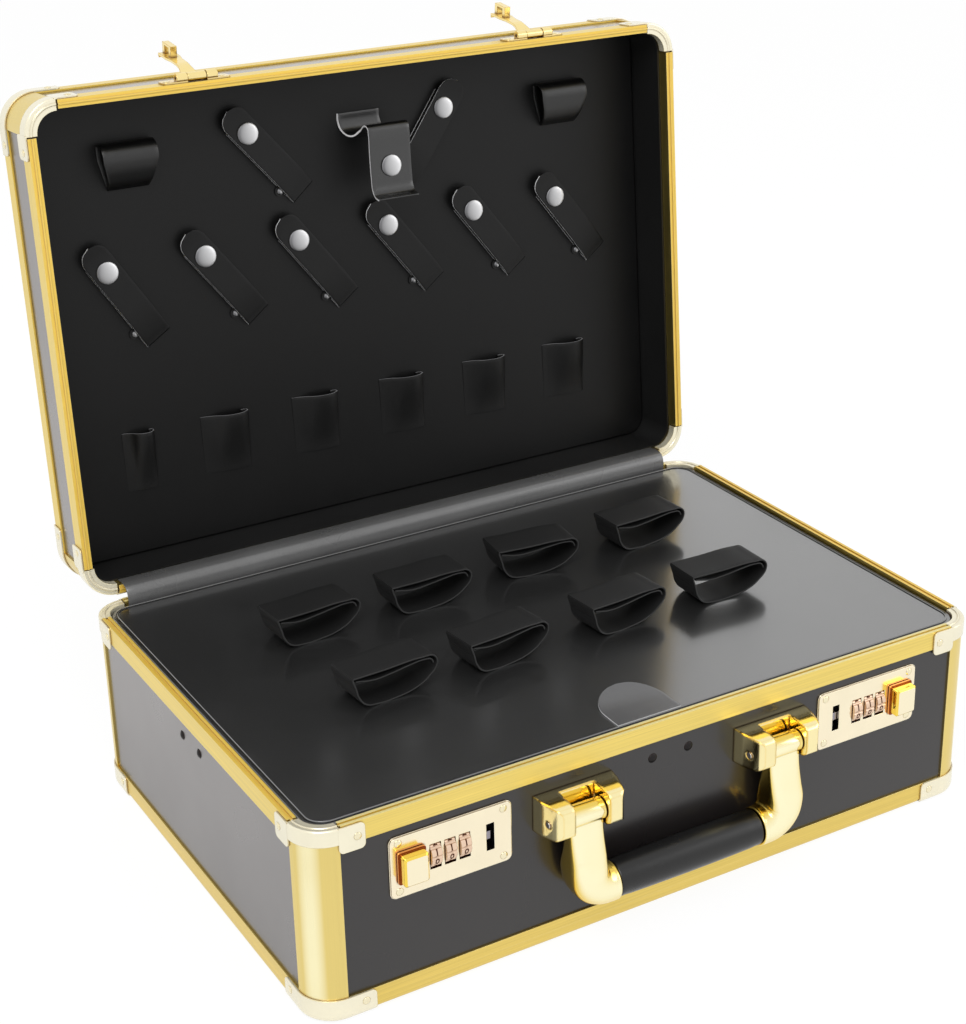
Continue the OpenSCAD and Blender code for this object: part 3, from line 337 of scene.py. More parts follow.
def button_tone(material):
    """Cream on the button's face and yellow on its bevels as painted reflection, copper on its foot
    with painted shade on the foot's front, steel on its bolt.
    """
    y = add_node(material, "SeparateXYZ", {0: place_of(material)}).outputs["Y"]
    foot = math_node(material, "GREATER_THAN", y, (BUTTON_STEP_Y - CASE_Y) * MM)
    front = facing(material, (0, -1, 0))
    slab = mix(material, front, rgb(248, 214, 92), rgb(249, 238, 206))
    step = mix(material, front, rgb(232, 160, 92), rgb(140, 66, 30))
    behind = math_node(material, "GREATER_THAN", y, (BOLT_Y - CASE_Y) * MM)
    return mix(material, behind, mix(material, foot, slab, step), rgb(150, 145, 152))


def arm_tone(material):
    """Painted highlight: cream on the casting's front, and deeper gold as painted shade where it
    rounds off to its sides and below.
    """
    front = facing(material, (-0.2, -0.97, 0.1), 0.62, 0.98)
    return mix(material, front, rgb(238, 206, 100), rgb(254, 247, 206))


def nickel_tone(material):
    """Matte nickel that is greyer towards the left, as the studs are in the picture: painted shade
    on the side that looks left.
    """
    right = facing(material, (1, 0, 0), -0.25, 0.22)
    return mix(material, right, rgb(118, 118, 120), rgb(230, 230, 231))


# %% [markdown]
# Each kind of metal on the case gets its own colour. The rails' mating faces take a painted
# reflection: paler at the front and a deeper amber at the sides and on the lid, as the picture shows
# them.
# %% The metals
GOLD = rgb(240, 214, 120)
POST = rgb(231, 208, 128)
REFLECTED_AMBER = rgb(252, 212, 88)
PALE = rgb(247, 240, 214)
EDGE_SHADE_BROWN = rgb(196, 142, 52)
OUT_OF_LID = (0, -0.99756, 0.069756)
FINE, LONG = 1500, 9
rail_front = metal("brushed_gold_front", GOLD, 0.34, (LONG, FINE, FINE), mating=(0, 0, 1),
                   deep=rgb(246, 232, 160))
rail_side = metal("brushed_gold_side", GOLD, 0.34, (FINE, LONG, FINE), mating=(0, 0, 1),
                  deep=REFLECTED_AMBER)
rail_round = metal("brushed_gold_round", rgb(232, 204, 112), 0.34, (LONG, FINE, FINE),
                   (FINE, LONG, FINE))
rail_lid = metal("brushed_gold_lid", GOLD, 0.34, (LONG, FINE, FINE), (FINE, FINE, LONG),
                 mating=OUT_OF_LID, deep=REFLECTED_AMBER)
post_base = metal("brushed_gold_post", POST, 0.3, (FINE, FINE, LONG), grain=0.25,
                  band=(0.79, 0.61, 0))
post_lid = metal("brushed_gold_lid_post", POST, 0.3, (FINE, LONG, FINE), grain=0.25)
# The rim colours are painted light on the rounded edges: the paler rim on the plates is a painted
# highlight, and the darker rims on the corners, hasps, bracket, rivets and dials are painted shade.
pressed = polished("pressed_corner_gold", PALE, 0.2, edge=0.5, rim=rgb(226, 208, 150), mirror=0.5)
plate_gold = polished("polished_plate_gold", rgb(250, 238, 208), 0.16, rim=rgb(255, 250, 226))
hasp_gold = polished("hasp_gold", rgb(250, 228, 160), 0.14, edge=0.5, rim=EDGE_SHADE_BROWN, corner_shade_reach=2.5)
bracket_gold = polished("bracket_gold", rgb(250, 236, 180), 0.08, edge=2.5, rim=rgb(240, 196, 80))
arm_gold = polished("arm_gold", None, 0.14, edge=1.0, tone_of=arm_tone)
rivet_gold = polished("rivet_gold", rgb(244, 234, 200), 0.22, edge=0.3, rim=rgb(206, 186, 120))
dial_copper = polished("dial_copper", rgb(236, 206, 180), 0.3, edge=0.3, rim=rgb(120, 70, 44))
zinc = polished("zinc_steel", rgb(120, 120, 124), 0.36)
steel = polished("pin_steel", rgb(215, 215, 218), 0.2)
chrome = polished("snap_nickel", None, 0.45, corner_shade_reach=0, tone_of=nickel_tone)
black_steel = polished("black_painted_steel", rgb(46, 44, 44), 0.4)
button_gold = polished("button_gold", None, 0.12, edge=0.5, corner_shade_reach=0.6, tone_of=button_tone)
print("metals:", len(bpy.data.materials))

# %% [markdown]
# The laminate on the panels is a thin glossy sheet over board. It is nearly black, with a clear
# coat that mirrors the pale floor when it is looked at from low down. The leatherette has a grain
# of small cells, from a Voronoi texture, with finer noise over it and a soft sheen.
# %% Laminate and leatherette
COARSE, THIN = 1100.0, 1500.0


def grey(level):
    return rgb(level, level, level)


def laminate(name, colour, coat, gloss, low_coat=None, tint=(1, 1, 1, 1)):
    """Glossy sheet. Its coat weakens towards the floor where low_coat is given."""
    material, shader = start_material(name, IOR=1.5, Specular_IOR_Level=gloss,
                                      Coat_Weight=coat, Coat_Roughness=0.2, Coat_IOR=1.5,
                                      Coat_Tint=tint)
    place = place_of(material)
    if low_coat:
        z = add_node(material, "SeparateXYZ", {0: place}).outputs["Z"]
        feed(material, shader, Coat_Weight=ramp(material, z, 0.01, 0.11, low_coat, coat))
    fibres = noise(material, place, 900.0, 3.0)
    clouds = noise(material, place, 9.0, 3.0)
    tone = mix(material, fibres, shade(colour, 0.85), shade(colour, 1.15))
    tone = mix(material, ramp(material, clouds, 0.4, 0.7, 0.0, 0.3), tone, shade(colour, 1.4))
    dull = ramp(material, clouds, 0.3, 0.7, 0.24, 0.34)
    bump = bumps(material, 0.12, 0.05, fibres)
    feed(material, shader, Base_Color=tone, Roughness=dull, Normal=bump)
    return material


def leatherette(name, colour, rough, cells=COARSE, depth=0.08, coat=0.0, gloss=0.5,
                coat_ior=1.5, coat_rough=0.22):
    material, shader = start_material(name, IOR=1.5, Specular_IOR_Level=gloss,
                                      Coat_Weight=coat, Coat_Roughness=coat_rough,
                                      Coat_IOR=coat_ior)
    place = place_of(material)
    grain = add_node(material, "TexVoronoi", {"Vector": place, "Scale": cells},
                     feature="DISTANCE_TO_EDGE").outputs["Distance"]
    pores = noise(material, place, 2600.0, 2.0)
    clouds = noise(material, place, 14.0, 3.0)
    valley = ramp(material, grain, 0.0, 0.16)
    tone = mix(material, valley, shade(colour, 0.7), colour)
    tone = mix(material, ramp(material, clouds, 0.4, 0.7, 0.0, 0.4), tone, shade(colour, 1.3))
    dull = ramp(material, clouds, 0.3, 0.7, rough - 0.04, rough + 0.05)
    height = math_node(material, "ADD", valley, math_node(material, "MULTIPLY", pores, 0.4))
    bump = bumps(material, 0.35, depth, height)
    feed(material, shader, Base_Color=tone, Roughness=dull, Normal=bump)
    return material


side_laminate = laminate("side_laminate", rgb(34, 30, 30), 1.0, 0.5, 0.6, (1, 0.95, 0.93, 1))
black_laminate = laminate("black_laminate", rgb(33, 30, 30), 0.66, 0.28)
board_leather = leatherette("board_leatherette", grey(14), 0.4, gloss=0.24)
tray_leather = leatherette("tray_leatherette", grey(38), 0.32, coat=1.0, gloss=0.6,
                           coat_ior=2.3, coat_rough=0.16)
strap_leather = leatherette("strap_leatherette", grey(15), 0.42, cells=THIN, gloss=0.26)
# This leatherette is darker than the straps' as painted shade on the corner loops.
corner_leather = leatherette("corner_leatherette_painted_shade", grey(9), 0.3, cells=THIN, gloss=0.6)
flap_leather = leatherette("flap_leatherette", rgb(84, 84, 85), 0.34, coat=0.6)
# The hinge strip is black leatherette; its grey base colour is a painted sheen.
cover_leather = leatherette("hinge_leatherette_painted_sheen", grey(98), 0.3, coat=1.0)
loop_webbing = leatherette("loop_leatherette", grey(22), 0.6, cells=THIN, gloss=0.3)
grip_leather = leatherette("grip_leatherette", grey(12), 0.27, cells=1300.0, depth=0.04)
hook_leather = leatherette("hook_leatherette", grey(9), 0.3, cells=THIN, coat=0.8)
lining_leather = leatherette("lining_leatherette", grey(27), 0.42, gloss=0.3)
# These three edge finishes are painted highlights along the cut edges, not the edges' own colour.
strap_edge = leatherette("strap_edge_highlight", rgb(228, 228, 230), 0.5, cells=THIN, depth=0.02)
sleeve_edge = leatherette("sleeve_edge_highlight", rgb(130, 130, 132), 0.5, cells=THIN, depth=0.02)
loop_edge = leatherette("loop_edge_highlight", grey(44), 0.5, cells=THIN, depth=0.02)
print("materials:", len(bpy.data.materials))

# %% [markdown]
# The CAD pieces whose shape is right stay in the picture. Each one gets its finish by name.
# %% Finishes of the CAD pieces
dial_names = [f"{side}_dial_{i}" for side in ("left", "right") for i in (1, 2, 3)]
finishes = {
    rail_front: ["base_front_rim_rail", "base_back_rim_rail", "hinge_base_leaf",
                 "hinge_lid_leaf"],
    rail_side: ["base_side_rim_rails"],
    rail_round: ["base_edge_rails"],
    rail_lid: ["lid_rim_rails", "lid_edge_rails"],
    post_base: ["base_corner_posts"],
    post_lid: ["lid_corner_posts"],
    pressed: ["base_rim_corners", "base_foot_corners", "lid_rim_corners", "lid_top_corners"],
    hasp_gold: ["hasp_bases", "left_hasp", "right_hasp"],
    rivet_gold: ["base_rivets", "lid_rivets", "lock_rivets"],
    black_steel: ["bracket_rivets", "tray_brackets"],
    plate_gold: ["left_lock_plate", "right_lock_plate"],
    bracket_gold: ["left_handle_bracket", "right_handle_bracket"],
    button_gold: ["left_lock_slide", "right_lock_slide"],
    dial_copper: dial_names,
    zinc: ["lock_housings"],
    steel: ["dial_axles", "hinge_pin", "handle_pins", "hasp_pins"],
    side_laminate: ["base_side_panels", "lid_wall_panels"],
    black_laminate: ["base_front_panel", "base_back_panel", "base_floor_panel",
                     "lid_top_panel"],
}
for finish, names in finishes.items():
    for name in names:
        nodes[name].data.materials.clear()
        nodes[name].data.materials.append(finish)
print("CAD pieces with a finish:", sum(len(names) for names in finishes.values()))

# %% [markdown]
# Soft pieces are modelled from primitives with the same operators as by hand. An operator acts on
# what is selected, so these helpers start from a clean selection, pick faces or edges by a test on
# their place, and apply modifiers and transforms.
# %% Helpers for modelling
def deselect():
    bpy.ops.object.select_all(action="DESELECT")


def whole_mesh():
    bpy.ops.mesh.select_all(action="SELECT")


def only(piece):
    """Selects one object and nothing else."""
    if bpy.context.object and bpy.context.object.mode != "OBJECT":
        bpy.ops.object.mode_set(mode="OBJECT")
    deselect()
    piece.select_set(True)
    bpy.context.view_layer.objects.active = piece


def edit(piece, kind="FACE"):
    """Enters edit mode with nothing selected."""
    only(piece)
    bpy.ops.object.mode_set(mode="EDIT")
    bpy.ops.mesh.select_mode(type=kind)
    bpy.ops.mesh.select_all(action="DESELECT")


def pick(piece, kind, test):
    """In edit mode, selects the faces, edges or vertices that pass the test."""
    mesh = bmesh.from_edit_mesh(piece.data)
    found = 0
    for part in getattr(mesh, kind):
        if test(part):
            part.select_set(True)
            found += 1
    bmesh.update_edit_mesh(piece.data)
    return found


def leave():
    bpy.ops.object.mode_set(mode="OBJECT")


def square_edge(edge):
    """True for an edge between two faces that meet at about a right angle."""
    return len(edge.link_faces) == 2 and abs(edge.calc_face_angle(0)) > 1.2


def soften(piece, radius, segments, test=square_edge):
    """Rounds the edges that pass the test by a radius in millimetres."""
    edit(piece, "EDGE")
    pick(piece, "edges", test)
    bpy.ops.mesh.bevel(offset=radius * MM, segments=segments, affect="EDGES")
    leave()


def joined(first, *others):
    """Makes the other pieces part of the first one."""
    only(first)
    for piece in others:
        piece.select_set(True)
    bpy.ops.object.join()
    return first


def between(value, low, high):
    """How far value is from low to high, held to 0 and 1."""
    return min(1.0, max(0.0, (value - low) / (high - low)))


def eased(t):
    """A step from 0 to 1 that starts and ends softly."""
    return t * t * (3 - 2 * t)


def modify(piece, kind, **settings):
    """Adds a modifier and applies it at once."""
    only(piece)
    made = piece.modifiers.new(kind.lower(), kind)
    for key, value in settings.items():
        setattr(made, key, value)
    bpy.ops.object.modifier_apply(modifier=made.name)


def settle(piece):
    """Moves the object's own place, turn and size into its mesh."""
    only(piece)
    bpy.ops.object.transform_apply(location=True, rotation=True, scale=True)


def smooth(piece, angle=35):
    only(piece)
    bpy.ops.object.shade_smooth_by_angle(angle=math.radians(angle))


def clad(piece, finish, edge_finish=None):
    """Gives a piece its finish, and its cut edges theirs, a painted highlight."""
    piece.data.materials.append(finish)
    if edge_finish:
        piece.data.materials.append(edge_finish)


def put(piece, matrix, body):
    """Carries a flat-made piece to its place and gives it its body."""
    only(piece)
    piece.matrix_world = matrix
    settle(piece)
    if body:
        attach(piece, body)


def cylinder(radius, depth, at=(0, 0, 0), turn=(0, 0, 0), sides=64):
    """A cylinder along z that is then turned by degrees, and is moved to its place."""
    deselect()
    bpy.ops.mesh.primitive_cylinder_add(vertices=sides, radius=radius, depth=depth, location=at,
                                        rotation=[math.radians(a) for a in turn])
    piece = bpy.context.object
    settle(piece)
    return piece


def rounded_slab(name, size, corner, thick, segments=10):
    """A slab with rounded corners: its face at z = 0 and its body below, centred on the origin."""
    deselect()
    bpy.ops.mesh.primitive_plane_add(size=1, location=(0, 0, 0))
    piece = bpy.context.object
    piece.name = name
    piece.scale = (size[0], size[1], 1)
    settle(piece)
    edit(piece, "VERT")
    whole_mesh()
    bpy.ops.mesh.bevel(offset=corner, segments=segments, affect="VERTICES")
    whole_mesh()
    bpy.ops.mesh.extrude_region_move(TRANSFORM_OT_translate={"value": (0, 0, -thick)})
    whole_mesh()
    bpy.ops.mesh.normals_make_consistent(inside=False)
    leave()
    return piece


# %% [markdown]
# The lid stands open, leaning back a few degrees. Its pieces are made flat and then carried to the
# board inside the lid by one matrix: x stays x, y goes up the board, and z comes out of it.
# %% Frames of the tray and of the lid's board
LID_OPEN = math.radians(94)
BOARD_DEEP = 0.04115
up_board = Vector((0, -math.cos(LID_OPEN), math.sin(LID_OPEN)))
out_of_board = Vector((0, -math.sin(LID_OPEN), -math.cos(LID_OPEN)))
board = Matrix.Identity(4)
for row in range(3):
    board[row][1] = up_board[row]
    board[row][2] = out_of_board[row]
    board[row][3] = hinge[row] - BOARD_DEEP * out_of_board[row]
tray_low, tray_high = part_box("tray_board")
tray_top = tray_high.z
print("board frame:", short([board.translation]), "tray top:", round(tray_top, 4))

# %% [markdown]
# The tray is hardboard covered in leatherette that is turned over its edges, with a fine pressed
# line all round, close to the edge. The top face is inset, then inset again with a small step
# down and once more with the same step up, which leaves a narrow groove.
# %% Tray board
LINE_IN, LINE_WIDE, LINE_DEEP = 2.9 * MM, 0.3 * MM, 0.4 * MM
CORNER = 14.6 * MM
tray_size = tray_high - tray_low
tray = rounded_slab("tray_cover", tray_size.xy, CORNER, tray_size.z)
edit(tray)
pick(tray, "faces", lambda f: f.normal.z > 0.9)
bpy.ops.mesh.inset(thickness=LINE_IN)
bpy.ops.mesh.inset(thickness=LINE_WIDE, depth=-LINE_DEEP)
bpy.ops.mesh.inset(thickness=LINE_WIDE, depth=LINE_DEEP)
leave()
soften(tray, 1.1, 4, lambda e: square_edge(e) and abs(e.verts[0].co.z - e.verts[1].co.z) < 1e-5)
smooth(tray)
middle = (tray_low + tray_high) / 2
clad(tray, tray_leather)
put(tray, Matrix.Translation((middle.x, middle.y, tray_top)), "tray")
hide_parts("tray_board")
print("tray faces:", len(tray.data.polygons))

# %% [markdown]
# Straps, loops and sleeves are all strips that follow a line. A strip is made flat, where its
# width, its rounded end and its thickness are easy to get right, and a Curve modifier then bends
# it along a flat curve. Its own UV map is laid out in metres before bending, so a pattern on it
# keeps its scale.
# %% Strips that follow a line
def guide(points, sharp=(), cyclic=False):
    """A flat Bezier curve through points in millimetres."""
    deselect()
    bpy.ops.curve.primitive_bezier_curve_add(location=(0, 0, 0))
    curve = bpy.context.object
    curve.data.dimensions = "2D"
    curve.data.resolution_u = 32
    spline = curve.data.splines[0]
    spline.bezier_points.add(len(points) - 2)
    for i, (point, knot) in enumerate(zip(points, spline.bezier_points)):
        knot.handle_left_type = knot.handle_right_type = "VECTOR" if i in sharp else "AUTO"
        knot.co = (point[0] * MM, point[1] * MM, 0)
        knot.radius = 1
        knot.tilt = 0
    spline.use_cyclic_u = cyclic
    bpy.context.view_layer.update()
    return curve


def weld(piece):
    """Makes one vertex of those that lie on the same place."""
    edit(piece, "VERT")
    whole_mesh()
    bpy.ops.mesh.remove_doubles(threshold=0.00002)
    leave()


def band(name, points, width, thick, sharp=(), cyclic=False, round_end=0.0, step=2.0,
         across=6, edge=0.25, trim=None):
    """A strip along the line through points: x along, y up, and its width along z. The cut
    edges whose flat normal passes the test trim take the second material, a painted highlight."""
    curve = guide(points, sharp, cyclic)
    length = curve.data.splines[0].calc_length(resolution=64)
    deselect()
    bpy.ops.mesh.primitive_grid_add(x_subdivisions=max(4, round(length / (step * MM))),
                                    y_subdivisions=across, size=1, location=(0, 0, 0))
    piece = bpy.context.object
    piece.name = name
    piece.scale = (length, width * MM, 1)
    piece.location = (length / 2, 0, 0)
    settle(piece)
    for vertex in piece.data.vertices:
        left = (length - vertex.co.x) / MM
        if round_end and left < round_end:
            vertex.co.y *= math.sqrt(max(0.0, 1 - (1 - left / round_end) ** 2))
    layer = piece.data.uv_layers[0]
    layer.name = "flat"
    for loop in piece.data.loops:
        layer.data[loop.index].uv = piece.data.vertices[loop.vertex_index].co.xy
    modify(piece, "SOLIDIFY", thickness=thick * MM, offset=0)
    weld(piece)
    modify(piece, "BEVEL", width=edge * MM, segments=2, limit_method="ANGLE",
           angle_limit=math.radians(50))
    for face in piece.data.polygons:
        cut_edge = trim and abs(face.normal.z) < 0.5 and trim(face.normal)
        face.material_index = 1 if cut_edge else 0
    piece.rotation_euler = (math.radians(90), 0, 0)
    settle(piece)
    modify(piece, "CURVE", object=curve, deform_axis="POS_X")
    if cyclic:
        weld(piece)
    bpy.data.objects.remove(curve)
    smooth(piece, 40)
    return piece


def turned(x_axis, y_axis, place):
    """A matrix that carries a strip's x and y axes to two directions, and its start to a place."""
    z_axis = Vector(x_axis).cross(Vector(y_axis))
    made = Matrix.Identity(4)
    for row in range(3):
        made[row][0], made[row][1], made[row][2] = x_axis[row], y_axis[row], z_axis[row]
        made[row][3] = place[row]
    return made


def copied(piece, name):
    """A copy of a piece with a mesh of its own."""
    again = piece.copy()
    again.data = piece.data.copy()
    again.name = name
    bpy.context.scene.collection.objects.link(again)
    return again


# %% [markdown]
# Eight loops stand on the tray. Each is one band with a sharp fold at its upper left, a flat top,
# a small round at the right and a belly like a boat. The end of the band lies doubled under the
# top, which shows as a second thin line in the opening. They are sewn by hand, so each one is
# moved and turned a little: AS_SEWN gives x, y and degrees, first for the row at the front.
# %% Tray loops
LOOP_PITCH, LOOP_ROWS, LOOP_WIDE = 81, (-42, 53), 26
loop_line = [(-30.5, 21.2), (-10, 21.0), (17, 21.0), (24.8, 19.5), (26.6, 14.8), (20.5, 7.2),
             (11, 2.6), (-2, 0.75), (-14, 0.75), (-22, 2.6), (-26.4, 8), (-28.3, 14.5)]
tail_line = [(-28, 18.9), (-16, 16.6), (-4, 17.1), (8, 18.4), (18, 18.9), (23, 17.6), (24.3, 14.8)]
AS_SEWN = [(2.8, 5, 4), (-1.8, 5, 6), (3.4, 6, 5), (0.3, 6, -1), (-2.2, 0, 4), (-4, 0.5, 1),
           (-1.4, 6, -6), (2.5, 5, 3)]
loops = []
first = band("loop_1", loop_line, LOOP_WIDE, 1.0, sharp=(0,), cyclic=True, step=1.5,
             trim=lambda n: abs(n.y) > 0.3)
tail = band("loop_tail", tail_line, LOOP_WIDE - 1, 0.9, step=1.5, trim=lambda n: abs(n.y) > 0.3)
clad(first, loop_webbing, loop_edge)
clad(tail, loop_webbing, loop_edge)
joined(first, tail)
for row, y in enumerate(LOOP_ROWS):
    for column in range(4):
        index = 4 * row + column
        piece = first if index == 7 else copied(first, f"loop_{index + 1}")
        off_x, off_y, turn = AS_SEWN[index]
        a = math.radians(turn)
        place = (((column - 1.5) * LOOP_PITCH + off_x) * MM, (y - CASE_Y + off_y) * MM, tray_top)
        put(piece, turned((math.cos(a), math.sin(a), 0), (0, 0, 1), place), "tray")
        loops.append(piece)
for index, piece in enumerate(loops):
    piece.name = f"tray_loop_{index + 1}"
    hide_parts("tray_loops")
print("loops:", len(loops), "faces each:", len(first.data.polygons))

# %% [markdown]
# The finger flap is a tongue of thin leatherette with a round end, sewn on near the tray's front
# edge, with its free end curled up a little so that a finger finds it.
# %% Finger flap
flap_line = [(0, 0.45), (10, 0.5), (20, 0.9), (28, 2.0), (36, 4.2)]
FLAP_X, FLAP_SEWN_IN, FLAP_WIDE = -8, 4, 43
flap = band("finger_flap_tongue", flap_line, FLAP_WIDE, 0.8, round_end=FLAP_WIDE / 2, step=1.0,
            across=24, edge=0.2, trim=lambda n: True)
clad(flap, flap_leather, strap_edge)
flap_place = (FLAP_X * MM, tray_low.y + FLAP_SEWN_IN * MM, tray_top)
put(flap, turned((0, 1, 0), (0, 0, 1), flap_place), "tray")
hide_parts("finger_flap")
print("flap faces:", len(flap.data.polygons))

# %% [markdown]
# The board in the lid is thin ply on a padded frame, covered in leatherette. It is a slab with
# rounded corners whose front edge is turned over softly. Two insets hold the flat face apart from
# that edge, so the shading stays even.
# %% Organiser board in the lid
BOARD_SIZE, BOARD_CORNER, BOARD_THICK = (445.2 * MM, 300.2 * MM), 12.6 * MM, 6.6 * MM
organiser = rounded_slab("organiser_cover", BOARD_SIZE, BOARD_CORNER, BOARD_THICK)
edit(organiser)
pick(organiser, "faces", lambda f: f.normal.z > 0.9)
bpy.ops.mesh.inset(thickness=1.5 * MM)
bpy.ops.mesh.inset(thickness=4 * MM)
leave()
soften(organiser, 1.4, 4, lambda e: square_edge(e) and min(v.co.z for v in e.verts) > -1e-5)
smooth(organiser)
clad(organiser, board_leather)
put(organiser, board @ Matrix.Translation((0, HINGE_Y * MM, 0)), "lid")
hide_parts("organiser_board")
print("organiser faces:", len(organiser.data.polygons))

# %% [markdown]
# Both halves are lined with thin leatherette. A lining is an open tub: the floor of a rounded slab
# with its walls, turned to face inwards and given its thickness. A Boolean modifier cuts the
# base's lining open where the two lock housings stand.
# %% Linings
def lining(name, size, corner, depth, thick):
    """An open tub, its mouth at z = 0 and its floor below, with walls of that thickness."""
    piece = rounded_slab(name, size, corner, depth, segments=12)
    edit(piece)
    pick(piece, "faces", lambda f: f.normal.z > 0.9)
    bpy.ops.mesh.delete(type="FACE")
    whole_mesh()
    bpy.ops.mesh.flip_normals()
    leave()
    soften(piece, 4, 5)
    modify(piece, "SOLIDIFY", thickness=thick, offset=1)
    smooth(piece)
    return piece


THICK, SLACK = 1.2 * MM, 0.2 * MM
WINDOW_X, WINDOW_WIDE, WINDOW_DEEP = 146.25 * MM, 63.5 * MM, 12 * MM
LID_TUB, LID_TUB_DEEP, LID_TUB_OUT = (448 * MM, 303 * MM), 40.1 * MM, 32 * MM
low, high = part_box("base_lining")
base_lining = lining("base_lining_tub", ((high - low).x - SLACK, (high - low).y - SLACK),
                     CORNER, high.z - low.z, THICK)
locks_low, locks_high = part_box("lock_housings")
for side in (-1, 1):
    place = (side * WINDOW_X, (low.y - high.y) / 2, (locks_low + locks_high).z / 2 - high.z)
    deselect()
    bpy.ops.mesh.primitive_cube_add(size=1, location=place)
    window = bpy.context.object
    window.scale = (WINDOW_WIDE, WINDOW_DEEP, locks_high.z - locks_low.z + 0.6 * MM)
    settle(window)
    modify(base_lining, "BOOLEAN", operation="DIFFERENCE", object=window, solver="EXACT")
    bpy.data.objects.remove(window)
clad(base_lining, lining_leather)
put(base_lining, Matrix.Translation((0, (low.y + high.y) / 2, high.z)), "base")
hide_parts("base_lining")
lid_lining = lining("lid_lining_tub", LID_TUB, CORNER, LID_TUB_DEEP, THICK)
clad(lid_lining, lining_leather)
put(lid_lining, board @ Matrix.Translation((0, HINGE_Y * MM, LID_TUB_OUT)), "lid")
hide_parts("lid_lining")
print("lining box:", short((low, high)))

# %% [markdown]
# A snap strap is one strip folded double: its back layer lies on the board, it turns over at the
# foot, and the front layer stands off the board, with a round tip that lifts and a silver stud.
# %% Snap straps
PITCH = 66


def on_board(x, y_shut, tilt, start):
    """The frame of a strap whose stud is at x and y_shut, leaning by tilt degrees."""
    a = math.radians(tilt)
    along = Vector((-math.sin(a), math.cos(a), 0))
    foot = Vector((x * MM, (HINGE_Y - y_shut) * MM, 0)) - along * start * MM
    return board @ turned(along, (0, 0, 1), foot)


strap_line = [(66, 0.55), (30, 0.55), (3, 0.6), (0.6, 1.3), (3, 2.2), (10, 3.6), (22, 4.8),
              (36, 4.9), (57, 4.9), (69, 5.0), (78, 6.2)]
STRAP_WIDE, STUD_AT, RIVET_AT = 19, 57.5, (13, -10.5)
strap = band("snap_strap_1", strap_line, STRAP_WIDE, 0.9, round_end=STRAP_WIDE / 2, step=1.6,
             across=10, edge=0.2, trim=lambda n: n.y < -0.1)
lug = cylinder(3.6 * MM, 1.0 * MM, (RIVET_AT[0] * MM, 0.5 * MM, RIVET_AT[1] * MM), (90, 0, 0), 32)
clad(lug, strap_leather)
clad(strap, strap_leather, strap_edge)
joined(strap, lug)
# The x and y of each stud and the strap's tilt in degrees
STRAPS = [(-14.5 + PITCH * (i - 2.5), -41, 37 if i else 32) for i in range(6)]
STRAPS += [(-76.5, -115, 40), (66, -114, -36)]
for index, (x, y_shut, tilt) in enumerate(STRAPS):
    last = index == len(STRAPS) - 1
    piece = strap if last else copied(strap, "strap")
    put(piece, on_board(x, y_shut, tilt, STUD_AT), "lid")
    piece.name = f"snap_strap_{index + 1}"
    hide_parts("tool_straps")
print("straps:", len(STRAPS), "faces each:", len(strap.data.polygons))

# %% [markdown]
# Each stud is a nearly flat nickel disc, made by scaling a sphere's cap. The snap's other half is a
# short post that stands out of the board behind it. A small rivet holds the lug at the strap's foot.
# %% Snap studs and rivets
def disc(name, radius, high, at, deep=0.0):
    """A low dome of this radius and height that looks along z, on a wall as deep as deep."""
    deselect()
    bpy.ops.mesh.primitive_uv_sphere_add(segments=48, ring_count=24, radius=1, location=(0, 0, 0))
    piece = bpy.context.object
    piece.name = name
    edit(piece, "VERT")
    pick(piece, "verts", lambda v: v.co.z < -0.001)
    bpy.ops.mesh.delete(type="VERT")
    bpy.ops.mesh.select_all(action="DESELECT")
    pick(piece, "verts", lambda v: v.co.z < 0.001)
    bpy.ops.mesh.select_mode(type="EDGE")
    bpy.ops.mesh.extrude_region_move(TRANSFORM_OT_translate={"value": (0, 0, -deep / high)})
    bpy.ops.mesh.edge_face_add()
    whole_mesh()
    bpy.ops.mesh.normals_make_consistent(inside=False)
    leave()
    piece.scale = (radius * MM, radius * MM, high * MM)
    settle(piece)
    piece.location = [c * MM for c in at]
    settle(piece)
    smooth(piece, 40)
    return piece


# Radius and height of a stud's cap
STUD = (7.2, 1.3)
HOOK_X, HOOK_STUD_Y, HOOK_STUD_OUT = 13.5, -85, 26.3


def fastening():
    """The stud, the rivet at the foot and the post, in the strap's own frame."""
    parts = [disc("stud", *STUD, (0, 0, 5.75), 0.35), disc("rivet", 2.2, 1.3, (0, 0, 1.0), 0.2),
             cylinder(2.5 * MM, 3.6 * MM, sides=32)]
    for part, at in zip(parts, ((STUD_AT, 0), RIVET_AT, (STUD_AT, 0))):
        only(part)
        part.rotation_euler = (math.radians(-90), 0, 0)
        part.location = (at[0] * MM, 0, at[1] * MM)
        settle(part)
    return joined(*parts)


stud = fastening()
clad(stud, chrome)
for index, (x, y_shut, tilt) in enumerate(STRAPS):
    piece = copied(stud, "snap")
    put(piece, on_board(x, y_shut, tilt, STUD_AT), "lid")
    piece.name = f"snap_stud_{index + 1}"
    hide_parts("strap_studs")
bpy.data.objects.remove(stud)
hook_stud = disc("snap_stud_9", *STUD, (0, 0, 0.4), 0.35)
clad(hook_stud, chrome)
place = Vector((HOOK_X, HINGE_Y - HOOK_STUD_Y, HOOK_STUD_OUT)) * MM
put(hook_stud, board @ Matrix.Translation(place), "lid")
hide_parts("strap_studs")
print("stud faces:", len(hook_stud.data.polygons))

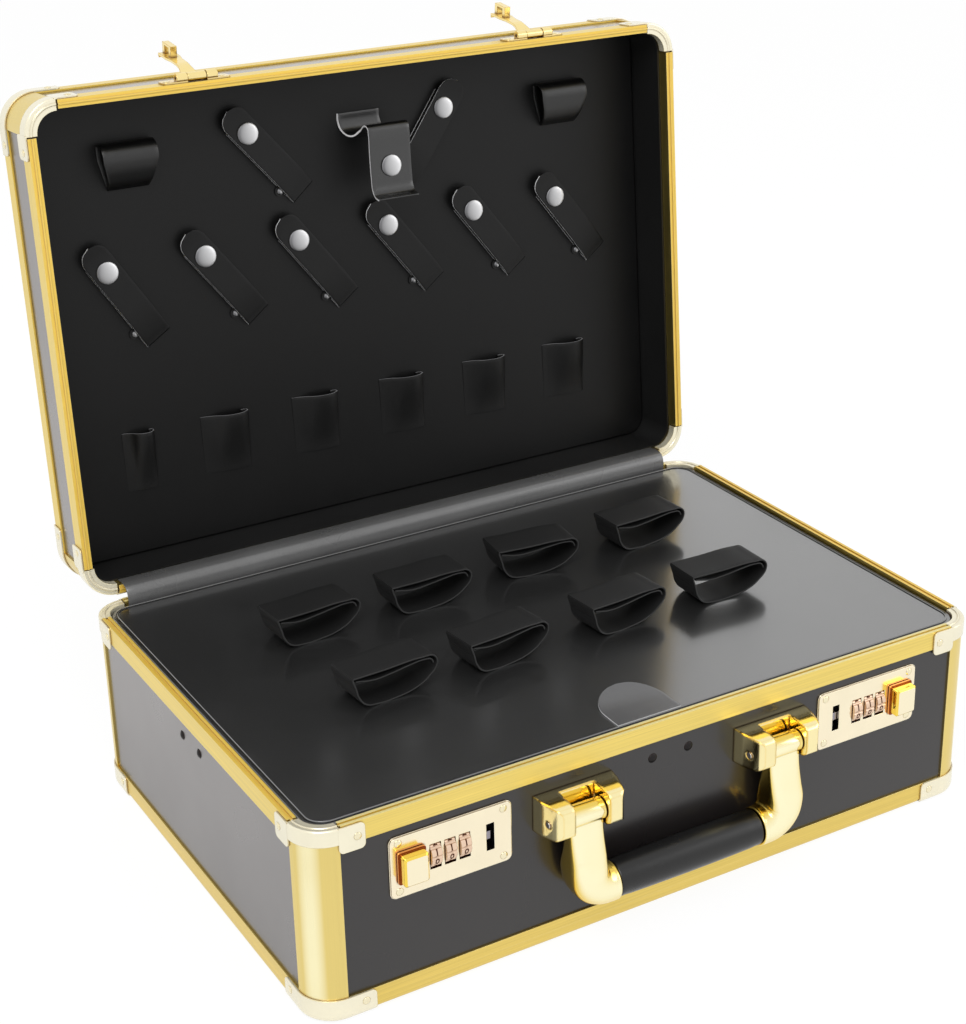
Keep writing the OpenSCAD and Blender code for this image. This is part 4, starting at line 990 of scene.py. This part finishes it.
# %% [markdown]
# The hook strap is sewn on at its top, folds out over a dryer's handle, and ends in a free lip. Its
# sewn end lies a little to the left, so that end's vertices are moved in proportion. The corner
# loops are bands that bulge off the board and are narrower at the bottom.
# %% Hook strap and corner loops
HOOK_WIDE, SEWN_ABOVE, SEWN_LEFT, STRAIGHT_AT = 30, 262, 9.6, 15
hook_line = [(HINGE_Y - y, h) for y, h in ((-119, 0.7), (-113, 0.8), (-107, 3.3), (-104.4, 8.6),
             (-108.4, 15), (-111.8, 20.2), (-111.2, 24.8), (-106.5, 26), (-96, 25.6), (-78, 25.6),
             (-70, 26.4), (-66.2, 29.5), (-65, 34.3))]
hook = band("hook_strap_strip", hook_line, HOOK_WIDE, 1.3, step=1.5, across=12, edge=0.3,
            trim=lambda n: n.y < -0.1)
for vertex in hook.data.vertices:
    if vertex.co.x > SEWN_ABOVE * MM:
        vertex.co.z -= SEWN_LEFT * MM * max(0.0, 1 - vertex.co.y / (STRAIGHT_AT * MM))
clad(hook, hook_leather, strap_edge)
put(hook, board @ turned((0, 1, 0), (0, 0, 1), (HOOK_X * MM, 0, 0)), "lid")
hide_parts("hook_strap")

NARROW, NARROW_BELOW, WIDE_ABOVE = 0.76, 252, 270
corner_line = [(HINGE_Y - y, h) for y, h in ((-91.5, 0.8), (-94, 4.2), (-100, 9), (-108, 12.2),
               (-113.5, 12.8), (-118.5, 10.4), (-120.6, 5), (-119.6, 0.8))]
corner_loop = band("corner_loop_1", corner_line, 36, 1.3, sharp=(0, 7), cyclic=True, step=1.5,
                   across=12, edge=0.3)
for vertex in corner_loop.data.vertices:
    vertex.co.z *= NARROW + (1 - NARROW) * between(vertex.co.x / MM, NARROW_BELOW, WIDE_ABOVE)
clad(corner_loop, corner_leather)
for index, x in enumerate((-158, 157.5)):
    piece = corner_loop if index else copied(corner_loop, "corner_loop")
    put(piece, board @ turned((0, 1, 0), (0, 0, 1), (x * MM, 0, 0)), "lid")
    piece.name = f"corner_loop_{index + 1}"
    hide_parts("corner_loops")
print("hook faces:", len(hook.data.polygons), "loop faces:", len(corner_loop.data.polygons))

# %% [markdown]
# Six sleeves for scissors and combs stand along the bottom. Each is a strip that starts flat on
# the board, bulges towards its right edge and turns back in under itself. Its bulge is full at
# the mouth and is pressed flat towards the sewn lower end. The first one is narrower.
# %% Tool sleeves
HALF, SLEEVE_TALL, SLEEVE_Y = 14.5, 40, 86.5
FIRST_NARROWER, PRESSED_FLAT, HEM_FLAT = 0.64, 0.8, 0.65
sleeve_line = [(-HALF - 3, 0.55), (-HALF + 1, 0.8), (-HALF + 6, 2.6), (-3, 6.2), (3, 7.9),
               (8.5, 7.8), (HALF - 2, 6.0), (HALF + 0.3, 3.4), (HALF - 0.5, 1.4),
               (HALF - 3.5, 1.2)]
sleeve = band("tool_sleeve_1", sleeve_line, SLEEVE_TALL, 1.0, step=1.2, across=16, edge=0.2,
              trim=lambda n: n.y < -0.3)
for vertex in sleeve.data.vertices:
    lower = between(vertex.co.z / MM, -SLEEVE_TALL / 2, SLEEVE_TALL / 2)
    hem = 1 - between(vertex.co.x / MM, -HALF - 3, -HALF + 2)
    vertex.co.y *= (1 - PRESSED_FLAT * eased(lower)) * (1 - HEM_FLAT * hem)
clad(sleeve, strap_leather, sleeve_edge)
for index in range(6):
    piece = sleeve if index == 5 else copied(sleeve, "sleeve")
    if index == 0:
        for vertex in piece.data.vertices:
            vertex.co.x = HALF * MM + (vertex.co.x - HALF * MM) * FIRST_NARROWER
    x = (-10.5 + PITCH * (index - 2.5)) * MM
    put(piece, board @ turned((1, 0, 0), (0, 0, 1), (x, (HINGE_Y - SLEEVE_Y) * MM, 0)), "lid")
    piece.name = f"tool_sleeve_{index + 1}"
    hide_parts("tool_sleeves")
print("sleeve faces:", len(sleeve.data.polygons))

# %% [markdown]
# A strip covers the hinge inside, from the base's back rail to the lid's. It bends each time the
# case opens, but here it is one fixed shape with no body.
# %% Strip over the hinge
rim_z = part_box("base_back_rim_rail")[1].z / MM
COVER_LONG = 413
cover_line = [(y - CASE_Y, rim_z + up) for y, up in ((151.15, -8.7), (151.15, -3), (151.2, 1),
              (151.9, 4.6), (154, 7.4), (157, 8.5), (161.3, 8.6), (167.8, 7.85))]
cover = band("hinge_cover", cover_line, COVER_LONG, 0.8, step=0.8, across=60, edge=0.2)
clad(cover, cover_leather)
put(cover, turned((0, 1, 0), (0, 0, 1), (0, 0, 0)), None)
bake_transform(cover)
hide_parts("hinge_cover_strip")
print("cover faces:", len(cover.data.polygons))

# %% [markdown]
# The grip is a soft sleeve, a little fuller in the middle, with rounded ends. A cylinder gets
# rings along its length by subdividing its long edges, and each ring its own radius.
# %% Handle grip
CROWN, GROOVE, GROOVE_AT = 0.05, 0.02, 0.92
grip_low, grip_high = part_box("handle_grip")
grip_middle = (grip_low + grip_high) / 2
grip_r = (grip_high.z - grip_low.z) / 2
grip_half = (grip_high.x - grip_low.x) / 2
grip = cylinder(grip_r, 2 * grip_half)
grip.name = "grip_sleeve"
edit(grip, "EDGE")
pick(grip, "edges", lambda e: abs(e.verts[0].co.z - e.verts[1].co.z) > 0.01)
bpy.ops.mesh.subdivide(number_cuts=24)
leave()
for vertex in grip.data.vertices:
    t = abs(vertex.co.z) / grip_half
    size = 1 - CROWN * t * t - (GROOVE if abs(t - GROOVE_AT) < 0.02 else 0)
    vertex.co.x *= size
    vertex.co.y *= size
soften(grip, 1.4, 4)
grip.rotation_euler = (0, math.radians(90), 0)
settle(grip)
smooth(grip, 50)
clad(grip, grip_leather)
put(grip, Matrix.Translation(grip_middle), "handle")
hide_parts("handle_grip")
print("grip faces:", len(grip.data.polygons))

# %% [markdown]
# The two arms of the handle are castings: a rounded bar hangs from the pin, swells, and turns in
# to meet the end of the grip. Each one is a cylinder whose rings get their own width and depth,
# and a Curve modifier then bends it through the elbow. The barrel for the pin is a short cylinder
# with a hole cut by a Boolean modifier. The left arm is the right one turned half round.
# %% Handle arms
ARM_X, GRIP_DROP, BARREL_R, BARREL_WIDE, HOLE_R = 68.5, 50, 6.5, 22.1, 2.2
WIDE_TOP, DEEP_TOP, WIDER, DEEPER = 11, 5, 0.9, 6.9
arm_path = [(ARM_X, -3.5), (ARM_X, -14), (ARM_X, -26), (ARM_X, -36), (66.6, -43), (61.5, -48.1),
            (54.5, -GRIP_DROP), (50.4, -GRIP_DROP)]


def casting():
    """One arm, in millimetres from the handle's middle: x along the pin, y up."""
    curve = guide(arm_path)
    length = curve.data.splines[0].calc_length(resolution=64)
    piece = cylinder(1, 2)
    edit(piece, "EDGE")
    pick(piece, "edges", lambda e: abs(e.verts[0].co.z - e.verts[1].co.z) > 1)
    bpy.ops.mesh.subdivide(number_cuts=48)
    leave()
    for vertex in piece.data.vertices:
        t = (vertex.co.z + 1) / 2
        swell = eased(between(t, 0.05, 0.65))
        wide = (WIDE_TOP + WIDER * swell) * MM
        deep = (DEEP_TOP + DEEPER * swell) * MM
        # A power of 1 keeps the section round, and a smaller one squares it.
        power = 0.5 + 0.5 * between(t, 0.5, 0.95)
        across, out = vertex.co.x, vertex.co.y
        across = math.copysign(abs(across) ** power, across)
        out = math.copysign(abs(out) ** power, out)
        vertex.co = (t * length, wide * across, deep * out)
    soften(piece, 0.8, 4)
    modify(piece, "CURVE", object=curve, deform_axis="POS_X")
    bpy.data.objects.remove(curve)
    smooth(piece, 50)
    return piece


def barrel():
    """The tube round the pin at the top of an arm."""
    tube, hole = [cylinder(radius * MM, depth * MM, (ARM_X * MM, 0, 0), (0, 90, 0))
                  for radius, depth in ((BARREL_R, BARREL_WIDE), (HOLE_R, 2 * BARREL_WIDE))]
    modify(tube, "BEVEL", width=0.7 * MM, segments=3, limit_method="ANGLE",
           angle_limit=math.radians(50))
    modify(tube, "BOOLEAN", operation="DIFFERENCE", object=hole, solver="EXACT")
    bpy.data.objects.remove(hole)
    smooth(tube, 40)
    return tube


arm, tube = casting(), barrel()
clad(arm, arm_gold)
clad(tube, arm_gold)
joined(arm, tube)
pivot = sum(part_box("handle_pins"), Vector()) / 2
for side, x_axis in (("left", (-1, 0, 0)), ("right", (1, 0, 0))):
    piece = copied(arm, "arm") if side == "left" else arm
    put(piece, turned(x_axis, (0, 0, 1), pivot), "handle")
    piece.name = f"{side}_arm_casting"
    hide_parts(f"{side}_handle_arm")

# %% [markdown]
# Each dial carries ten raised digits. One text object per digit is made a mesh, laid on the dial
# and turned round the axle in steps of a tenth of a turn. The 0 sits just under the middle of the
# window and the 1 just over it.
# %% Digits on the dials
DIGIT_SIZE, DIGIT_DEEP, DIGIT_BOLDER, SUNK, ZERO_AT = 5.4, 0.12, 0.1, 0.1, -18
digit_finish = polished("digit_brown", rgb(84, 44, 26), 0.45, corner_shade_reach=0)
digit_shapes = []
for value in range(10):
    deselect()
    bpy.ops.object.text_add(location=(0, 0, 0))
    text = bpy.context.object
    text.data.body = str(value)
    text.data.align_x = "CENTER"
    text.data.align_y = "CENTER"
    text.data.size = DIGIT_SIZE * MM
    text.data.extrude = DIGIT_DEEP * MM
    text.data.offset = DIGIT_BOLDER * MM
    text.data.resolution_u = 3
    only(text)
    bpy.ops.object.convert(target="MESH")
    digit_shapes.append(text)
for name in dial_names:
    low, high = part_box(name)
    centre = (low + high) / 2
    radius = (high.z - low.z) / 2
    parts = []
    for value, shape in enumerate(digit_shapes):
        lift = math.radians(ZERO_AT + 36 * value)
        piece = copied(shape, "digit")
        stand = Matrix.Rotation(math.radians(90), 4, "X")
        turn = Matrix.Rotation(-lift, 4, "X")
        piece.matrix_world = (Matrix.Translation(centre) @ turn
                              @ Matrix.Translation((0, -radius + SUNK * MM, 0)) @ stand)
        settle(piece)
        parts.append(piece)
    digits = joined(*parts)
    digits.name = f"{name}_digits"
    clad(digits, digit_finish)
    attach(digits, next(b for b, members in frame["record"]["behaviour"]["bodies"].items()
                         if name in members))
for shape in digit_shapes:
    bpy.data.objects.remove(shape)
print("dials with digits:", len(dial_names))
